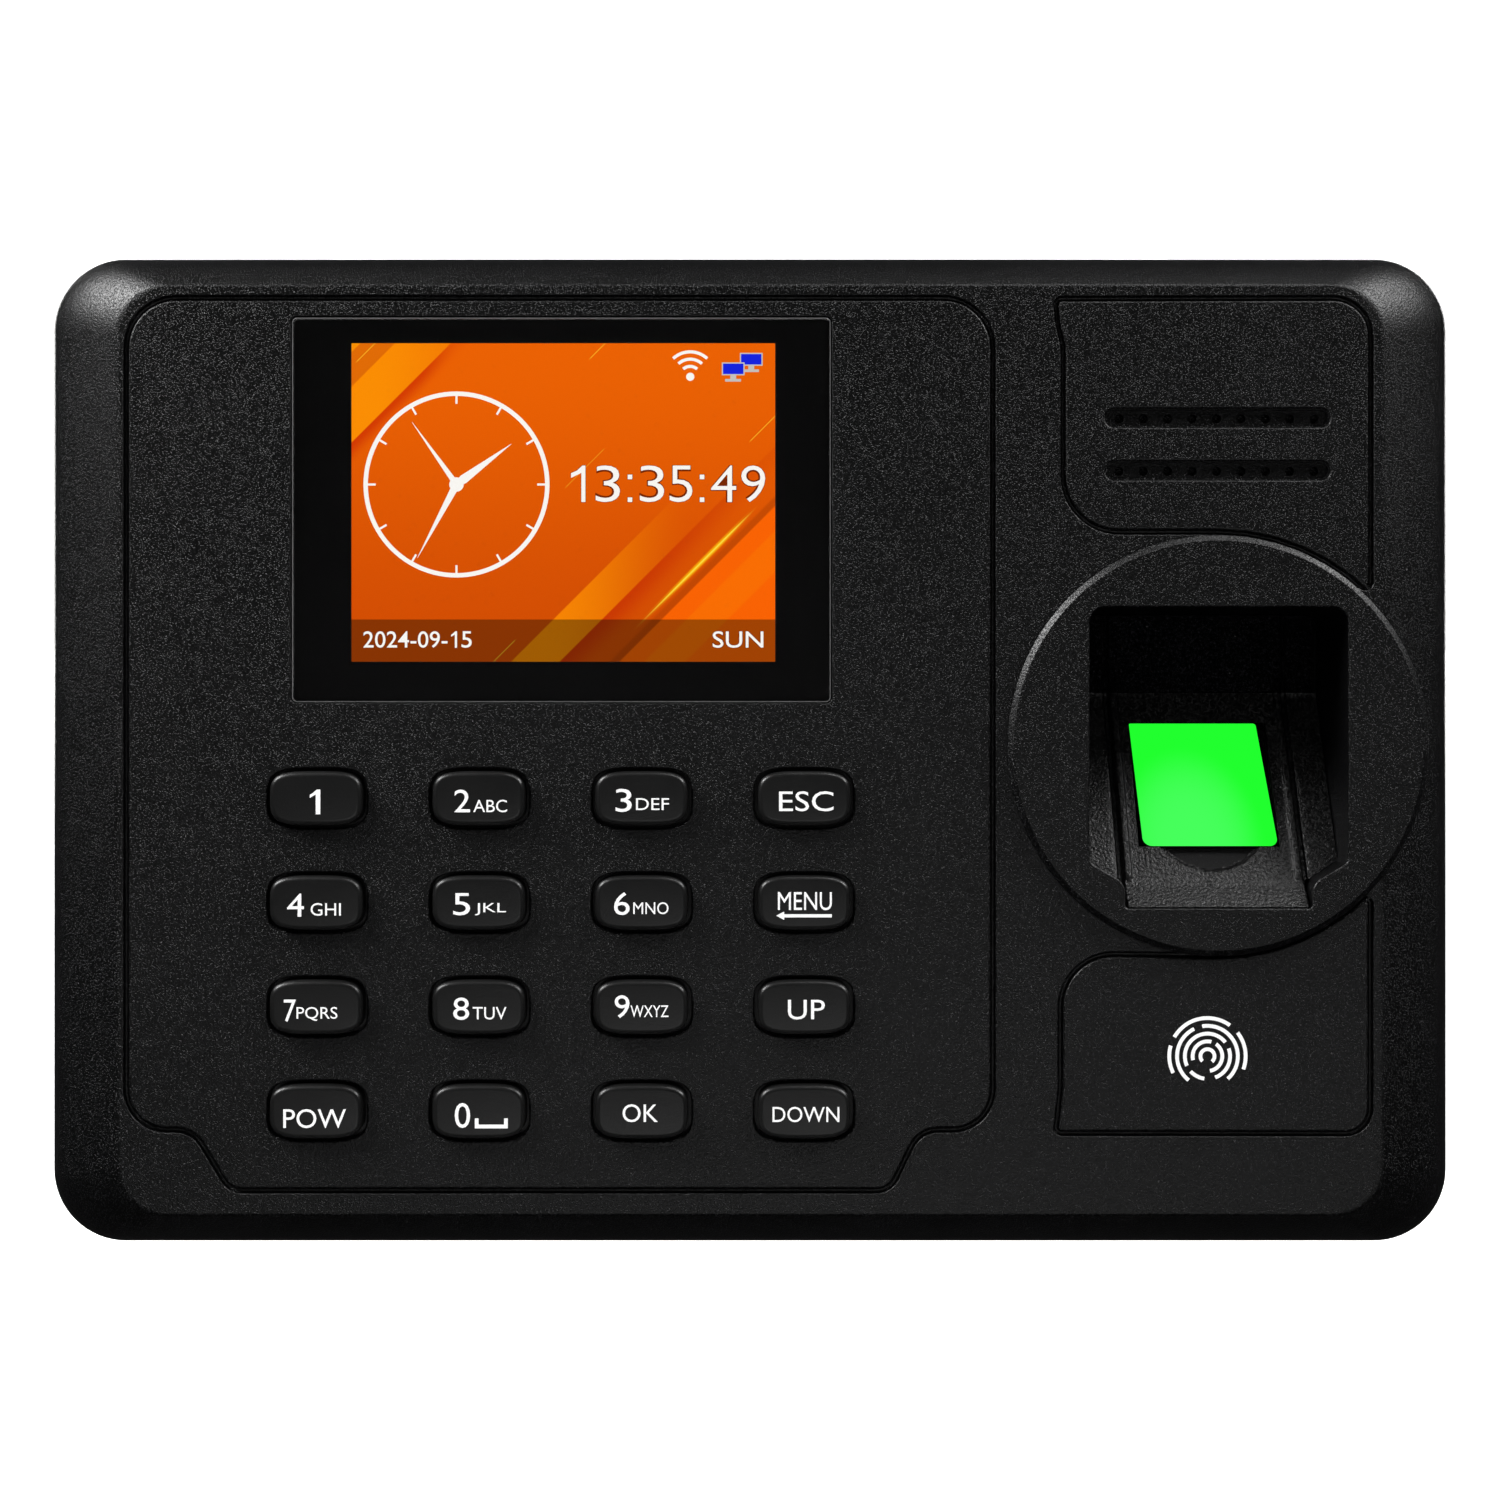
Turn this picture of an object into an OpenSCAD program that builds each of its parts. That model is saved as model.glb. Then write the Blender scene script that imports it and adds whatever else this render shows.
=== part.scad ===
// Wall-mounted fingerprint time terminal.
// X runs to the viewer's right, Z up, and the front faces -Y. The wall is the plane Y = 0, and the
// origin is the centre of the wall plate's four screw holes. A depth is a distance from the wall.

/* [Case] */
// Width of the case
body_w = 193; // [188:1:198]
// Height of the case
body_h = 136; // [134:1:140]
// Depth from the wall to the flat of the front face
face_depth = 34; // [34:0.5:36]
// Wall thickness of the front shell
wall = 2.4; // [2:0.1:2.6]
// Corner radius of the case outline
corner_r = 10; // [8:0.5:12]

/* [Keys] */
// Width of a key cap
key_w = 12.3; // [11.5:0.1:12.5]
// Height of a key cap
key_h = 7.3; // [6.8:0.1:7.6]
// How far a key stands above the face
key_rise = 1.5; // [1:0.1:2]
// How far a key can be pressed
key_travel = 1; // [0.6:0.1:1.1]
// Distance between key columns
key_pitch_x = 21.9; // [21.5:0.1:22.3]
// Distance between key rows
key_pitch_z = 14.05; // [13.8:0.05:14.2]

/* [Finger bay] */
// Radius of the raised disc round the finger bay
disc_r = 28.4; // [27.8:0.1:28.8]
// Angle of the finger bed from the face
bed_angle = 30; // [28:1:31]
// Width of the lit glass
glass_w = 18.3; // [17:0.1:19]
// Length of the lit glass along the bed
glass_l = 19.6; // [18:0.1:20]

/* [Wall plate] */
// Thickness of the plate's steel
plate_t = 1.5; // [1.2:0.1:1.6]
// Distance between the wall screws across
screw_pitch_x = 90; // [86:1:94]
// Distance between the wall screws up and down
screw_pitch_z = 64; // [60:1:66]
// Radius of a wall screw hole
screw_hole_r = 2.25; // [2:0.05:2.6]
// How far the terminal lifts to clear the hooks
lift_travel = 6.5; // [6:0.1:6.6]

/* [Hidden] */
$fn = 48;

KEYS = ["key_1", "key_2", "key_3", "key_esc", "key_4", "key_5", "key_6", "key_menu",
    "key_7", "key_8", "key_9", "key_up", "key_power", "key_0", "key_ok", "key_down"];

gap = 0.15;                     // clearance between pieces that slot together
parting = 15;                   // depth of the joint between the two case halves
cover_back = 2;                 // depth of the rear cover's back
cover_wall = 2.2;               // wall of the rear cover
bezel_in = [11, 5.3];           // how far the face is set in, at the sides and at top and bottom
bezel_drop = 10;                // how far back the rounded bezel reaches
bezel_curve = 1.8;              // power of the bezel's curve
face_r = 7;                     // corner radius of the flat face
inner_face = face_depth - wall;

disc_c = [63.1, 0.6];           // centre of the disc
bay_c = [63.1, 0];              // centre of the bay's mouth
disc_top = face_depth + 1;
pocket_floor = face_depth - 4;  // what the disc sits on
seat_t = 2.5;
tube_wall = 1.6;
bay_floor = 16;                 // depth of the flat at the back of the bay
bay_w = 34.8;                   // width of the bay's mouth
bay_top = 19.25;                // top edge of the bay's mouth
shoulder_z = -15.1;             // where the mouth starts to narrow
lip_w = 25.2;                   // width of the channel's mouth
lip_top_z = -17.9;
lip_z = -21.3;                  // lower edge of the channel's mouth
bed_start = [-18.1, disc_top - 3.8];      // height and depth where the bed begins
glass_c = [bay_c[0] - 0.4, bed_start[1] - (-4.7 - bed_start[0]) * tan(bed_angle), -4.7];  // x, depth, z
guide_t = 2;

window = [72.7, 51.9];          // cover window over the display
window_c = [-25.45, 32.4];
window_t = 1.3;
seat_depth = 1.6;
ledge = 2.5;
lcd = [69.2, 50, 3.4];
lcd_c = [-25.3, 33.4];
lcd_front = face_depth - 3.1;
lcd_back = lcd_front - lcd[2];

key_first = [-58.4, -6.5];
hole_play = 0.65;               // gap between a key and its hole
flange_top = inner_face - 0.1;
flange_t = 1.2;
mat_top = 27.8;
mat_t = 1.2;
collar_top = flange_top - flange_t - key_travel - 0.2;
pad_depth = mat_top - mat_t;    // front surface of the keypad board
stem_end = pad_depth + key_travel + 0.1;
pcb_t = 1.6;

main_top = 18;                  // front surface of the main board
main_box = [[-76, -44], [40, 54]];

port_bay = [[-30, -68.5], [30, -48.2]];
port_bay_depth = 17;
speaker_c = [63.1, 45.2];
speaker_r = 13.8;
speaker_back = 29.6;            // back of the speaker's rim
cloth_depth = inner_face - 0.3;
slot_rows = [44.8, 37.7];
slot_l = 31;
slot_w = 2.6;
slot_holes = 9;
slot_hole_pitch = 3.3;
case_screw_at = [[-86, 57.5], [86, 57.5], [-86, -57.5], [86, -57.5], [24, 60], [38, -60]];
board_screw_at = [[-72, 50], [36, 50], [-72, -40], [36, -40]];
keypad_screw_at = [[-47.45, 0], [-3.65, 0], [-47.45, -55.2], [-3.65, -55.2], [-25.55, -27.6]];
bracket_screw_at = [[-65, 50], [14, 50], [-65, 14], [14, 14]];
disc_screw_at = [[39.8, 0], [86.4, 0], [63.1, -25.4]];
speaker_screw_at = [[speaker_c[0] - 16.4, speaker_c[1]], [speaker_c[0] + 16.4, speaker_c[1]]];
hook_x = 28;
hook_z = [26, -20];
hook_w = 9;
hook_up = 6.2;
plate_low = -62;
plate_window = [[-28, -58.5], [28, -45]];
lock_x = 52;
flange_depth = 11;
tamper_at = [-50, -20];

// Drawn flat and raised from one depth to another, towards the viewer
module slab(from, to) {
    translate([0, -from, 0]) rotate([90, 0, 0]) linear_extrude(to - from) children();
}

// A round bar or hole along the depth axis
module rod(at, r, from, to) {
    translate([at[0], -from, at[1]]) rotate([90, 0, 0]) cylinder(r = r, h = to - from);
}

module block(low, high, from, to) {
    translate([low[0], -to, low[1]]) cube([high[0] - low[0], to - from, high[1] - low[1]]);
}

module rounded(w, h, r) {
    square([w - 2 * r, h], center = true);
    square([w, h - 2 * r], center = true);
    for (x = [-1, 1], y = [-1, 1]) translate([x * (w / 2 - r), y * (h / 2 - r)]) circle(r);
}

function bezel_share(h) = pow(max(0, 1 - h / bezel_drop), bezel_curve);

// Case outline at a height h behind the face, taken in by a margin
module case_outline(h, margin = 0) {
    s = bezel_share(h);
    r = corner_r + (face_r - corner_r) * s - margin * 0.7;
    rounded(body_w - 2 * (bezel_in[0] * s + margin), body_h - 2 * (bezel_in[1] * s + margin), r);
}

module case_skin(margin, back) {
    hull() {
        for (h = [0, 0.8, 2, 3.6, 5.6, 7.8, bezel_drop])
            slab(face_depth - margin - h - 0.01, face_depth - margin - h) case_outline(h, margin);
        slab(back, back + 0.01) case_outline(bezel_drop, margin);
    }
}

// Rounds the inside corners of an outline, then its outside corners
module soften(r, $fn = 28) {
    offset(r = r) offset(r = -2 * r) offset(r = r) children();
}

module main_panel() {
    soften(3.2) polygon([[-84.2, 61], [32.8, 61], [32.8, -51.3], [23.6, -51.3], [18.9, -59.5],
        [-70.2, -59.5], [-75, -51.3], [-84.2, -51.3]]);
}

module speaker_panel() {
    difference() {
        soften(3.2) polygon([[42.1, 61], [83.8, 61], [83.8, 20], [60, 20], [60, 29.5], [42.1, 29.5]]);
        translate(disc_c) circle(disc_r + 0.5);
        translate([60, 15]) square([10, 14.5]);
    }
}

module maker_panel() {
    difference() {
        soften(3.2) polygon([[41.8, -51.8], [83.8, -51.8], [83.8, -20], [60, -20], [60, -27.6],
            [41.8, -27.6]]);
        translate(disc_c) circle(disc_r);
        translate([60, -27.6]) square([10, 12]);
    }
}

module groove_line() {
    difference() {
        offset(delta = 0.35) children();
        offset(delta = -0.35) children();
    }
}

// Superellipse outline that the keys and their holes share
module key_shape(w, h) {
    n = 32;
    p = 3.2;
    polygon([for (i = [0:n - 1]) let (a = 360 * i / n, c = cos(a), s = sin(a))
        [w / 2 * sign(c) * pow(abs(c), 2 / p), h / 2 * sign(s) * pow(abs(s), 2 / p)]]);
}

function key_at(i) = [key_first[0] + (i % 4) * key_pitch_x, key_first[1] - floor(i / 4) * key_pitch_z];

module bay_mouth(extra = 0) {
    w = bay_w / 2 + extra;
    l = lip_w / 2 + extra;
    r = 2.2;
    translate(bay_c) {
        polygon([[-w, bay_top + extra - r], [-w, shoulder_z - extra / 2], [-l, lip_top_z - extra / 2],
            [-l, lip_z - extra], [l, lip_z - extra], [l, lip_top_z - extra / 2],
            [w, shoulder_z - extra / 2], [w, bay_top + extra - r]]);
        translate([0, bay_top + extra - r]) square([2 * (w - r), 2 * r], center = true);
        for (x = [-1, 1]) translate([x * (w - r), bay_top + extra - r]) circle(r);
    }
}

module sound_slot(z, w, l) {
    translate([speaker_c[0], z]) {
        square([l - w, w], center = true);
        for (x = [-1, 1]) translate([x * (l - w) / 2, 0]) circle(w / 2);
    }
}

// ---- Wall plate and its screw ----

module wall_plate() {
    color("silver") {
        difference() {
            slab(0, plate_t) difference() {
                translate([0, (42 + plate_low) / 2]) rounded(116, 42 - plate_low, 5);
                translate([(plate_window[0][0] + plate_window[1][0]) / 2,
                    (plate_window[0][1] + plate_window[1][1]) / 2])
                    rounded(plate_window[1][0] - plate_window[0][0],
                        plate_window[1][1] - plate_window[0][1], 3);
                for (x = [-hook_x, hook_x], z = hook_z)
                    translate([x - hook_w / 2, z - 8]) square([hook_w, 8]);
            }
            for (x = [-1, 1], z = [-1, 1])
                rod([x * screw_pitch_x / 2, z * screw_pitch_z / 2], screw_hole_r, -1, plate_t + 1);
        }
        for (x = [-hook_x, hook_x], z = hook_z) {
            block([x - hook_w / 2, z], [x + hook_w / 2, z + 1.6], 0, 5.9);
            block([x - hook_w / 2, z], [x + hook_w / 2, z + hook_up], 4.5, 5.9);
        }
        difference() {
            block([lock_x - 5.5, plate_low], [lock_x + 5.5, plate_low + plate_t], 0, flange_depth);
            translate([lock_x, -6.6, plate_low - 1]) cylinder(r = 1.75, h = 4);
        }
    }
}

module lock_screw() {
    color("dimgray") translate([lock_x, -6.6, plate_low]) difference() {
        union() {
            translate([0, 0, -1.9]) cylinder(r = 2.7, h = 1.9);
            cylinder(r = 1.4, h = 8.5);
        }
        translate([0, 0, -2]) cylinder(r = 1.5, h = 1.2, $fn = 6);
    }
}

// ---- Case ----

module rear_cover() {
    notch_top = plate_low + plate_t + 0.2;
    color("#1b1b1d") difference() {
        union() {
            difference() {
                hull() {
                    slab(cover_back, cover_back + 0.01) case_outline(bezel_drop, 3);
                    slab(cover_back + 2.5, cover_back + 2.51) case_outline(bezel_drop, 0.8);
                    slab(parting - 0.01, parting) case_outline(bezel_drop);
                }
                hull() {
                    slab(cover_back + cover_wall, cover_back + cover_wall + 0.01)
                        case_outline(bezel_drop, 4.2);
                    slab(cover_back + 5, cover_back + 5.01) case_outline(bezel_drop, 2.6);
                    slab(parting, parting + 0.01) case_outline(bezel_drop, 2.4);
                }
            }
            // tongue that locates the front shell
            difference() {
                slab(parting - 3, parting + 1.6) difference() {
                    case_outline(bezel_drop, wall + gap);
                    case_outline(bezel_drop, wall + gap + 1.2);
                }
                block([-32, -70], [32, -60], 0, 20);
                for (p = case_screw_at) rod(p, 4.4, parting, 30);
            }
            for (p = case_screw_at) rod(p, 4.2, cover_back + 1, parting);
            for (p = board_screw_at) rod(p, 3, cover_back + 1, main_top - pcb_t);
            // pocket for the plugs
            block([-32, -65.4], [32, -46], cover_back + 1, port_bay_depth + 2);
            // seat for the lock screw
            block([lock_x - 8.5, -65], [lock_x + 8.5, -51], cover_back + 1, 14);
            // cradle of the tamper switch
            block([tamper_at[0] - 5, tamper_at[1] - 5], [tamper_at[0] + 5, tamper_at[1] + 5],
                cover_back + 1, 5.6);
        }
        block(port_bay[0], port_bay[1], 0, parting);
        block([port_bay[0][0], -63.6], port_bay[1], 0, port_bay_depth);
        block([lock_x - 6.5, -70], [lock_x + 6.5, notch_top], 0, 12);
        translate([lock_x, -6.6, notch_top - 1]) cylinder(r = 1.55, h = 10);
        // cut-outs for the three sockets
        block([-26.2, -50], [-11.8, -44], 4.4, main_top - pcb_t);
        block([-6.2, -50], [10.2, -44], 4.4, main_top - pcb_t);
        block([15.2, -50], [25.2, -44], 4.4, main_top - pcb_t);
        for (p = case_screw_at) {
            rod(p, 3.2, cover_back - 2, 9);
            rod(p, 1.6, 8, parting + 3);
        }
        for (p = board_screw_at) rod(p, 1.1, 7, main_top);
        for (x = [-hook_x, hook_x], z = hook_z)
            block([x - hook_w / 2 - 1, z + 1.7 - 8.6], [x + hook_w / 2 + 1, z + 1.7],
                cover_back - 1, 5);
        rod(tamper_at, 2.1, 0, 8);
        // vents
        for (i = [-3:3]) translate([i * 7, 0]) block([-30 + i * 4 - 1, 49], [-30 + i * 4 + 1, 60], 0, 5);
    }
}

module front_shell() {
    color("#161618") difference() {
        union() {
            difference() {
                case_skin(0, parting);
                case_skin(wall, parting - 1);
            }
            // thicker wall behind the window, and the seat of the disc
            slab(lcd_front, inner_face + 0.5)
                translate(window_c) square(window + [4, 4], center = true);
            slab(pocket_floor - seat_t, inner_face + 0.5) translate(disc_c) circle(disc_r + 2.1);
            for (p = speaker_screw_at) rod(p, 2.2, speaker_back, inner_face + 0.5);
            for (p = case_screw_at) rod(p, 3.8, parting, 29.5);
            for (p = keypad_screw_at) rod(p, 2.6, pad_depth, inner_face + 0.5);
            for (p = bracket_screw_at) rod(p, 2.6, lcd_back, inner_face + 0.5);
        }
        for (p = case_screw_at) rod(p, 1.25, parting - 1, 27);
        for (p = keypad_screw_at) rod(p, 0.95, pad_depth - 1, 31);
        for (p = bracket_screw_at) rod(p, 0.95, 26, 31);
        for (p = speaker_screw_at) rod(p, 0.95, 26, 31);
        // window seat and the opening behind it
        slab(face_depth - seat_depth, face_depth + 1) translate(window_c) rounded(window[0] + 0.3,
            window[1] + 0.3, 0.8);
        slab(20, face_depth) translate(window_c)
            square([window[0] - 2 * ledge, window[1] - 2 * ledge], center = true);
        // the disc's pocket and the hole that the bay goes through
        slab(pocket_floor, face_depth + 2) translate(disc_c) circle(disc_r + 0.1);
        slab(20, face_depth) bay_mouth(tube_wall + 0.2);
        for (p = disc_screw_at) rod(p, 1.15, 20, pocket_floor + 1);
        for (i = [0:15]) slab(20, face_depth + 1) translate(key_at(i))
            key_shape(key_w + 2 * hole_play, key_h + 2 * hole_play);
        for (z = slot_rows) {
            slab(face_depth - 1.2, face_depth + 1) sound_slot(z, slot_w, slot_l);
            for (i = [0:slot_holes - 1])
                rod([speaker_c[0] + (i - (slot_holes - 1) / 2) * slot_hole_pitch, z], 0.62, 30, 34);
        }
        slab(face_depth - 0.6, face_depth + 0.5) {
            groove_line() main_panel();
            groove_line() speaker_panel();
            groove_line() maker_panel();
        }
    }
}

module pan_screw(at, head_depth, head_r, head_t, shank_r, tip) {
    dir = tip > head_depth ? 1 : -1;
    difference() {
        union() {
            rod(at, head_r, min(head_depth, head_depth - dir * head_t),
                max(head_depth, head_depth - dir * head_t));
            rod(at, shank_r, min(head_depth, tip), max(head_depth, tip));
        }
        for (w = [[0.5, 2.6], [2.6, 0.5]])
            block([at[0] - w[0] * head_r / 4, at[1] - w[1] * head_r / 4],
                [at[0] + w[0] * head_r / 4, at[1] + w[1] * head_r / 4],
                min(head_depth - dir * head_t * 0.45, head_depth - dir * (head_t + 1)),
                max(head_depth - dir * head_t * 0.45, head_depth - dir * (head_t + 1)));
    }
}

module case_screws() {
    color("gray") for (p = case_screw_at) pan_screw(p, 9, 2.8, 1.9, 1.15, 24);
}

// ---- Finger sensor ----

module sensor_bezel() {
    color("#161618") {
        difference() {
            union() {
                slab(pocket_floor, disc_top - 0.7) translate(disc_c) circle(disc_r);
                translate([disc_c[0], -(disc_top - 0.7), disc_c[1]]) rotate([90, 0, 0])
                    cylinder(r1 = disc_r, r2 = disc_r - 0.7, h = 0.7);
            }
            slab(pocket_floor - 1, disc_top - 2) difference() {
                translate(disc_c) circle(disc_r - 1.8);
                bay_mouth(tube_wall);
                for (p = disc_screw_at) translate(p) circle(2.3);
            }
            for (p = disc_screw_at) rod(p, 1.0, pocket_floor - 1, pocket_floor + 3.4);
            slab(0, disc_top + 1) bay_mouth();
        }
        slab(bay_floor - guide_t, pocket_floor + 0.5) difference() {
            bay_mouth(tube_wall);
            bay_mouth();
        }
    }
}

// Puts its children on the bed, with the glass's centre at the origin and the bed's normal along Z
module on_bed() {
    translate([glass_c[0], -glass_c[1], glass_c[2]]) rotate([90 - bed_angle, 0, 0]) children();
}

// Side profile of the finger guide, as points of height and depth
function bed_depth(z) = bed_start[1] - (z - bed_start[0]) * tan(bed_angle);

module guide_profile(from, to) {
    z_floor = bed_start[0] + (bed_start[1] - bay_floor) / tan(bed_angle);
    drop = guide_t / cos(bed_angle);
    top = bay_top - gap;
    low = lip_z + gap;
    multmatrix([[0, 0, 1, from], [0, -1, 0, 0], [1, 0, 0, 0], [0, 0, 0, 1]])
        linear_extrude(to - from) polygon([
            [low, disc_top - 0.3], bed_start, [z_floor, bay_floor], [top, bay_floor],
            [top, bay_floor - guide_t], [z_floor - 0.6, bay_floor - guide_t],
            [bed_start[0], bed_start[1] - drop - 0.8], [low, bed_start[1] - drop + 0.2]]);
}

module finger_guide() {
    color("#151517") difference() {
        union() {
            intersection() {
                guide_profile(30, 95);
                slab(0, disc_top) bay_mouth(-gap);
            }
            // the two rails beside the finger
            intersection() {
                on_bed() for (x = [-1, 1])
                    translate([x * 11.6 - 0.9, -16.5, -1]) cube([1.8, 33, 2.2]);
                slab(0, disc_top - 1) bay_mouth(-gap);
            }
        }
        on_bed() translate([-glass_w / 2, -glass_l / 2, -6]) cube([glass_w, glass_l, 12]);
        // relief for the fingertip below the glass
        on_bed() translate([0, -glass_l / 2 + 4, 9]) sphere(r = 11);
    }
}

module sensor_glass() {
    color("lime") on_bed() rotate([90, 0, 90]) translate([0, 0, -glass_w / 2 + gap])
        linear_extrude(glass_w - 2 * gap)
        polygon([[-glass_l / 2 + gap, -0.3], [glass_l / 2 - gap, -0.3],
            [glass_l / 2 - gap, -2.2], [5, -8.5], [-5, -8.5], [-glass_l / 2 + gap, -2.2]]);
}

module sensor_housing() {
    color("#202022") on_bed() difference() {
        translate([-11.5, -10.5, -13.8]) cube([23, 21, 10.6]);
        translate([-10.2, -9.2, -12.6]) cube([20.4, 18.4, 12]);
    }
}

module sensor_board() {
    color("darkgreen") on_bed() translate([-10, -9, -12.6]) cube([20, 18, 1]);
}

module sensor_camera() {
    color("black") on_bed() {
        translate([-3, -3, -11.6]) cube([6, 6, 1.2]);
        translate([0, 0, -10.4]) cylinder(r = 2.2, h = 1.4);
    }
}

module sensor_leds() {
    color("palegreen") on_bed() for (x = [-7.5, 5.5], y = [-8, 5])
        translate([x, y, -11.6]) cube([2, 2, 0.9]);
}

module sensor_screws() {
    color("gray") for (p = disc_screw_at)
        pan_screw(p, pocket_floor - seat_t, 1.8, 1.3, 0.9, pocket_floor + 3);
}

// Flat lead from the sensor to a socket under the main board's edge
module sensor_cable() {
    color("gainsboro") {
        block([38.5, -8], [glass_c[0] - 11.5, -2], 11, 11.5);
        block([38.5, -8], [39, -2], 11, main_top - pcb_t);
    }
}

// ---- Display ----

module display_window() {
    color("#050507") slab(face_depth - seat_depth + 0.25, face_depth - seat_depth + 0.25 + window_t)
        translate(window_c) rounded(window[0], window[1], 0.7);
}

module window_seal() {
    color("#2a2a2a") slab(face_depth - seat_depth, face_depth - seat_depth + 0.25)
        translate(window_c) difference() {
            square(window - [0.6, 0.6], center = true);
            square([window[0] - 2 * ledge + 0.4, window[1] - 2 * ledge + 0.4], center = true);
        }
}

module lcd_module() {
    color("orangered") slab(lcd_back, lcd_front) translate(lcd_c)
        rounded(lcd[0], lcd[1], 0.8);
}

module lcd_bracket() {
    color("silver") difference() {
        slab(lcd_back - 1, lcd_back) translate([-25.5, 32]) rounded(84, 42, 3);
        for (p = bracket_screw_at) rod(p, 1.3, 20, 30);
        block([-40, 26], [-12, 40], 20, 30);
    }
}

module bracket_screws() {
    color("gray") for (p = bracket_screw_at)
        pan_screw(p, lcd_back - 1, 1.9, 1.2, 0.85, 30.8);
}

module lcd_ribbon() {
    color("orange") {
        block([-34, 4], [-18, 8.4], 28, 28.3);
        block([-34, 4], [-18, 4.3], main_top, 28);
    }
}

// ---- Keys ----

module key_cap(i) {
    at = key_at(i);
    top = face_depth + key_rise;
    color("#1c1c1e") {
        slab(flange_top, top - 0.6) translate(at) key_shape(key_w, key_h);
        slab(top - 0.6, top) translate(at) key_shape(key_w - 0.7, key_h - 0.7);
        slab(flange_top - flange_t, flange_top) translate(at) rounded(key_w + 3, key_h + 2.6, 1.5);
        rod(at, 2.3, stem_end, flange_top);
    }
}

module keypad_mat() {
    color("dimgray") difference() {
        union() {
            slab(mat_top - mat_t, mat_top) translate([-25.5, -27.6]) rounded(82, 60, 3);
            for (i = [0:15]) rod(key_at(i), 4, mat_top, collar_top);
        }
        for (i = [0:15]) rod(key_at(i), 2.8, 20, 30);
        for (p = keypad_screw_at) rod(p, 2.9, 20, 30);
    }
}

module keypad_board() {
    color("darkgreen") difference() {
        slab(pad_depth - pcb_t, pad_depth) translate([-25.5, -27.6]) rounded(84, 62, 2);
        for (p = keypad_screw_at) rod(p, 1.3, 20, 30);
    }
}

module keypad_screws() {
    color("gray") for (p = keypad_screw_at) pan_screw(p, pad_depth - pcb_t, 1.9, 1.2, 0.85, 30.8);
}

module keypad_ribbon() {
    color("gainsboro") block([-8, -30], [4, -29.4], main_top, pad_depth - pcb_t);
}

// ---- Main board and what is on it ----

module main_board() {
    color("darkgreen") difference() {
        block(main_box[0], main_box[1], main_top - pcb_t, main_top);
        for (p = board_screw_at) rod(p, 1.4, 10, 20);
    }
}

module processor() {
    color("#222") block([-34, -20], [-18, -4], main_top, main_top + 1.4);
}

module memory_chips() {
    color("#222") for (x = [-56, -44]) block([x, -18], [x + 8, -6], main_top, main_top + 1);
}

module board_capacitors() {
    color("silver") for (p = [[-66, 24], [-66, 34], [26, 24], [26, 34], [16, 34]])
        rod(p, 3, main_top, main_top + 5.4);
}

module coin_cell() {
    color("silver") rod([-58, -28], 8, main_top, main_top + 3.2);
}

module wifi_module() {
    color("gray") block([12, 6], [30, 18], main_top, main_top + 2.2);
}

module board_screws() {
    color("gray") for (p = board_screw_at) pan_screw(p, main_top, 2.2, 1.5, 1.0, 9);
}

module ethernet_jack() {
    color("silver") difference() {
        block([-6, port_bay[1][1]], [10, -27], 4.6, main_top - pcb_t);
        block([-4, port_bay[1][1] - 1], [8, -35], 6.2, 13.2);
        block([-1.5, port_bay[1][1] - 1], [5.5, -38], 5.4, 6.4);
    }
    color("goldenrod") for (i = [0:7]) block([-2.2 + i * 1.1, -46], [-1.7 + i * 1.1, -35], 12.6, 13.2);
}

module usb_socket() {
    color("silver") difference() {
        block([-26, port_bay[1][1]], [-12, -34], 8.8, main_top - pcb_t);
        block([-25.3, port_bay[1][1] - 1], [-12.7, -36], 10, 15.2);
    }
    color("white") block([-24.5, -47], [-13.5, -36], 12.4, 14.2);
}

module dc_jack() {
    color("#181818") difference() {
        block([15.6, port_bay[1][1]], [24.8, -34], 6.4, main_top - pcb_t);
        translate([20.2, -11.4, port_bay[1][1] - 1]) cylinder(r = 3.1, h = 11);
    }
    color("silver") translate([20.2, -11.4, -47.2]) cylinder(r = 1, h = 9);
}

module backup_battery() {
    color("steelblue") block([47, -49.5], [85, -25], cover_back + cover_wall, 12.4);
}

module battery_lead() {
    color("firebrick") {
        block([38, -30], [47, -29], 8, 9);
        block([38, -30], [39, -29], 8, main_top - pcb_t);
    }
}

// ---- Loudspeaker ----

module speaker_basket() {
    color("silver") {
        difference() {
            rod(speaker_c, speaker_r, speaker_back, cloth_depth);
            rod(speaker_c, speaker_r - 2, 29, 32);
        }
        difference() {
            rod(speaker_c, speaker_r - 1.6, 26.4, speaker_back);
            rod(speaker_c, speaker_r - 2.4, 27.4, 30);
            rod(speaker_c, 5, 26, 28);
        }
    }
}

module speaker_cone() {
    color("#2c2c2c") translate([speaker_c[0], -27.4, speaker_c[1]]) rotate([90, 0, 0]) difference() {
        cylinder(r1 = 5.2, r2 = speaker_r - 2.6, h = 3.2);
        translate([0, 0, 0.6]) cylinder(r1 = 4.8, r2 = speaker_r - 3, h = 3.2);
    }
}

module speaker_magnet() {
    color("#333") rod(speaker_c, 8, 21.4, 26.4);
}

module speaker_cloth() {
    color("#0c0c0c") slab(cloth_depth, inner_face) translate([speaker_c[0], 41.2]) rounded(28, 13, 2);
}

module speaker_screws() {
    color("gray") for (p = speaker_screw_at) pan_screw(p, speaker_back, 2.9, 1.2, 0.85, 30.8);
}

module speaker_lead() {
    color("firebrick") {
        block([38, 40], [39, 42], main_top, 28.5);
        block([38, 40], [51.3, 42], 27.7, 28.5);
    }
}

// ---- Tamper switch ----

module tamper_switch() {
    color("#111") difference() {
        block([tamper_at[0] - 3.5, tamper_at[1] - 3.5], [tamper_at[0] + 3.5, tamper_at[1] + 3.5],
            5.6, 12);
        rod(tamper_at, 2.1, 5, 9.5);
    }
}

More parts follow.
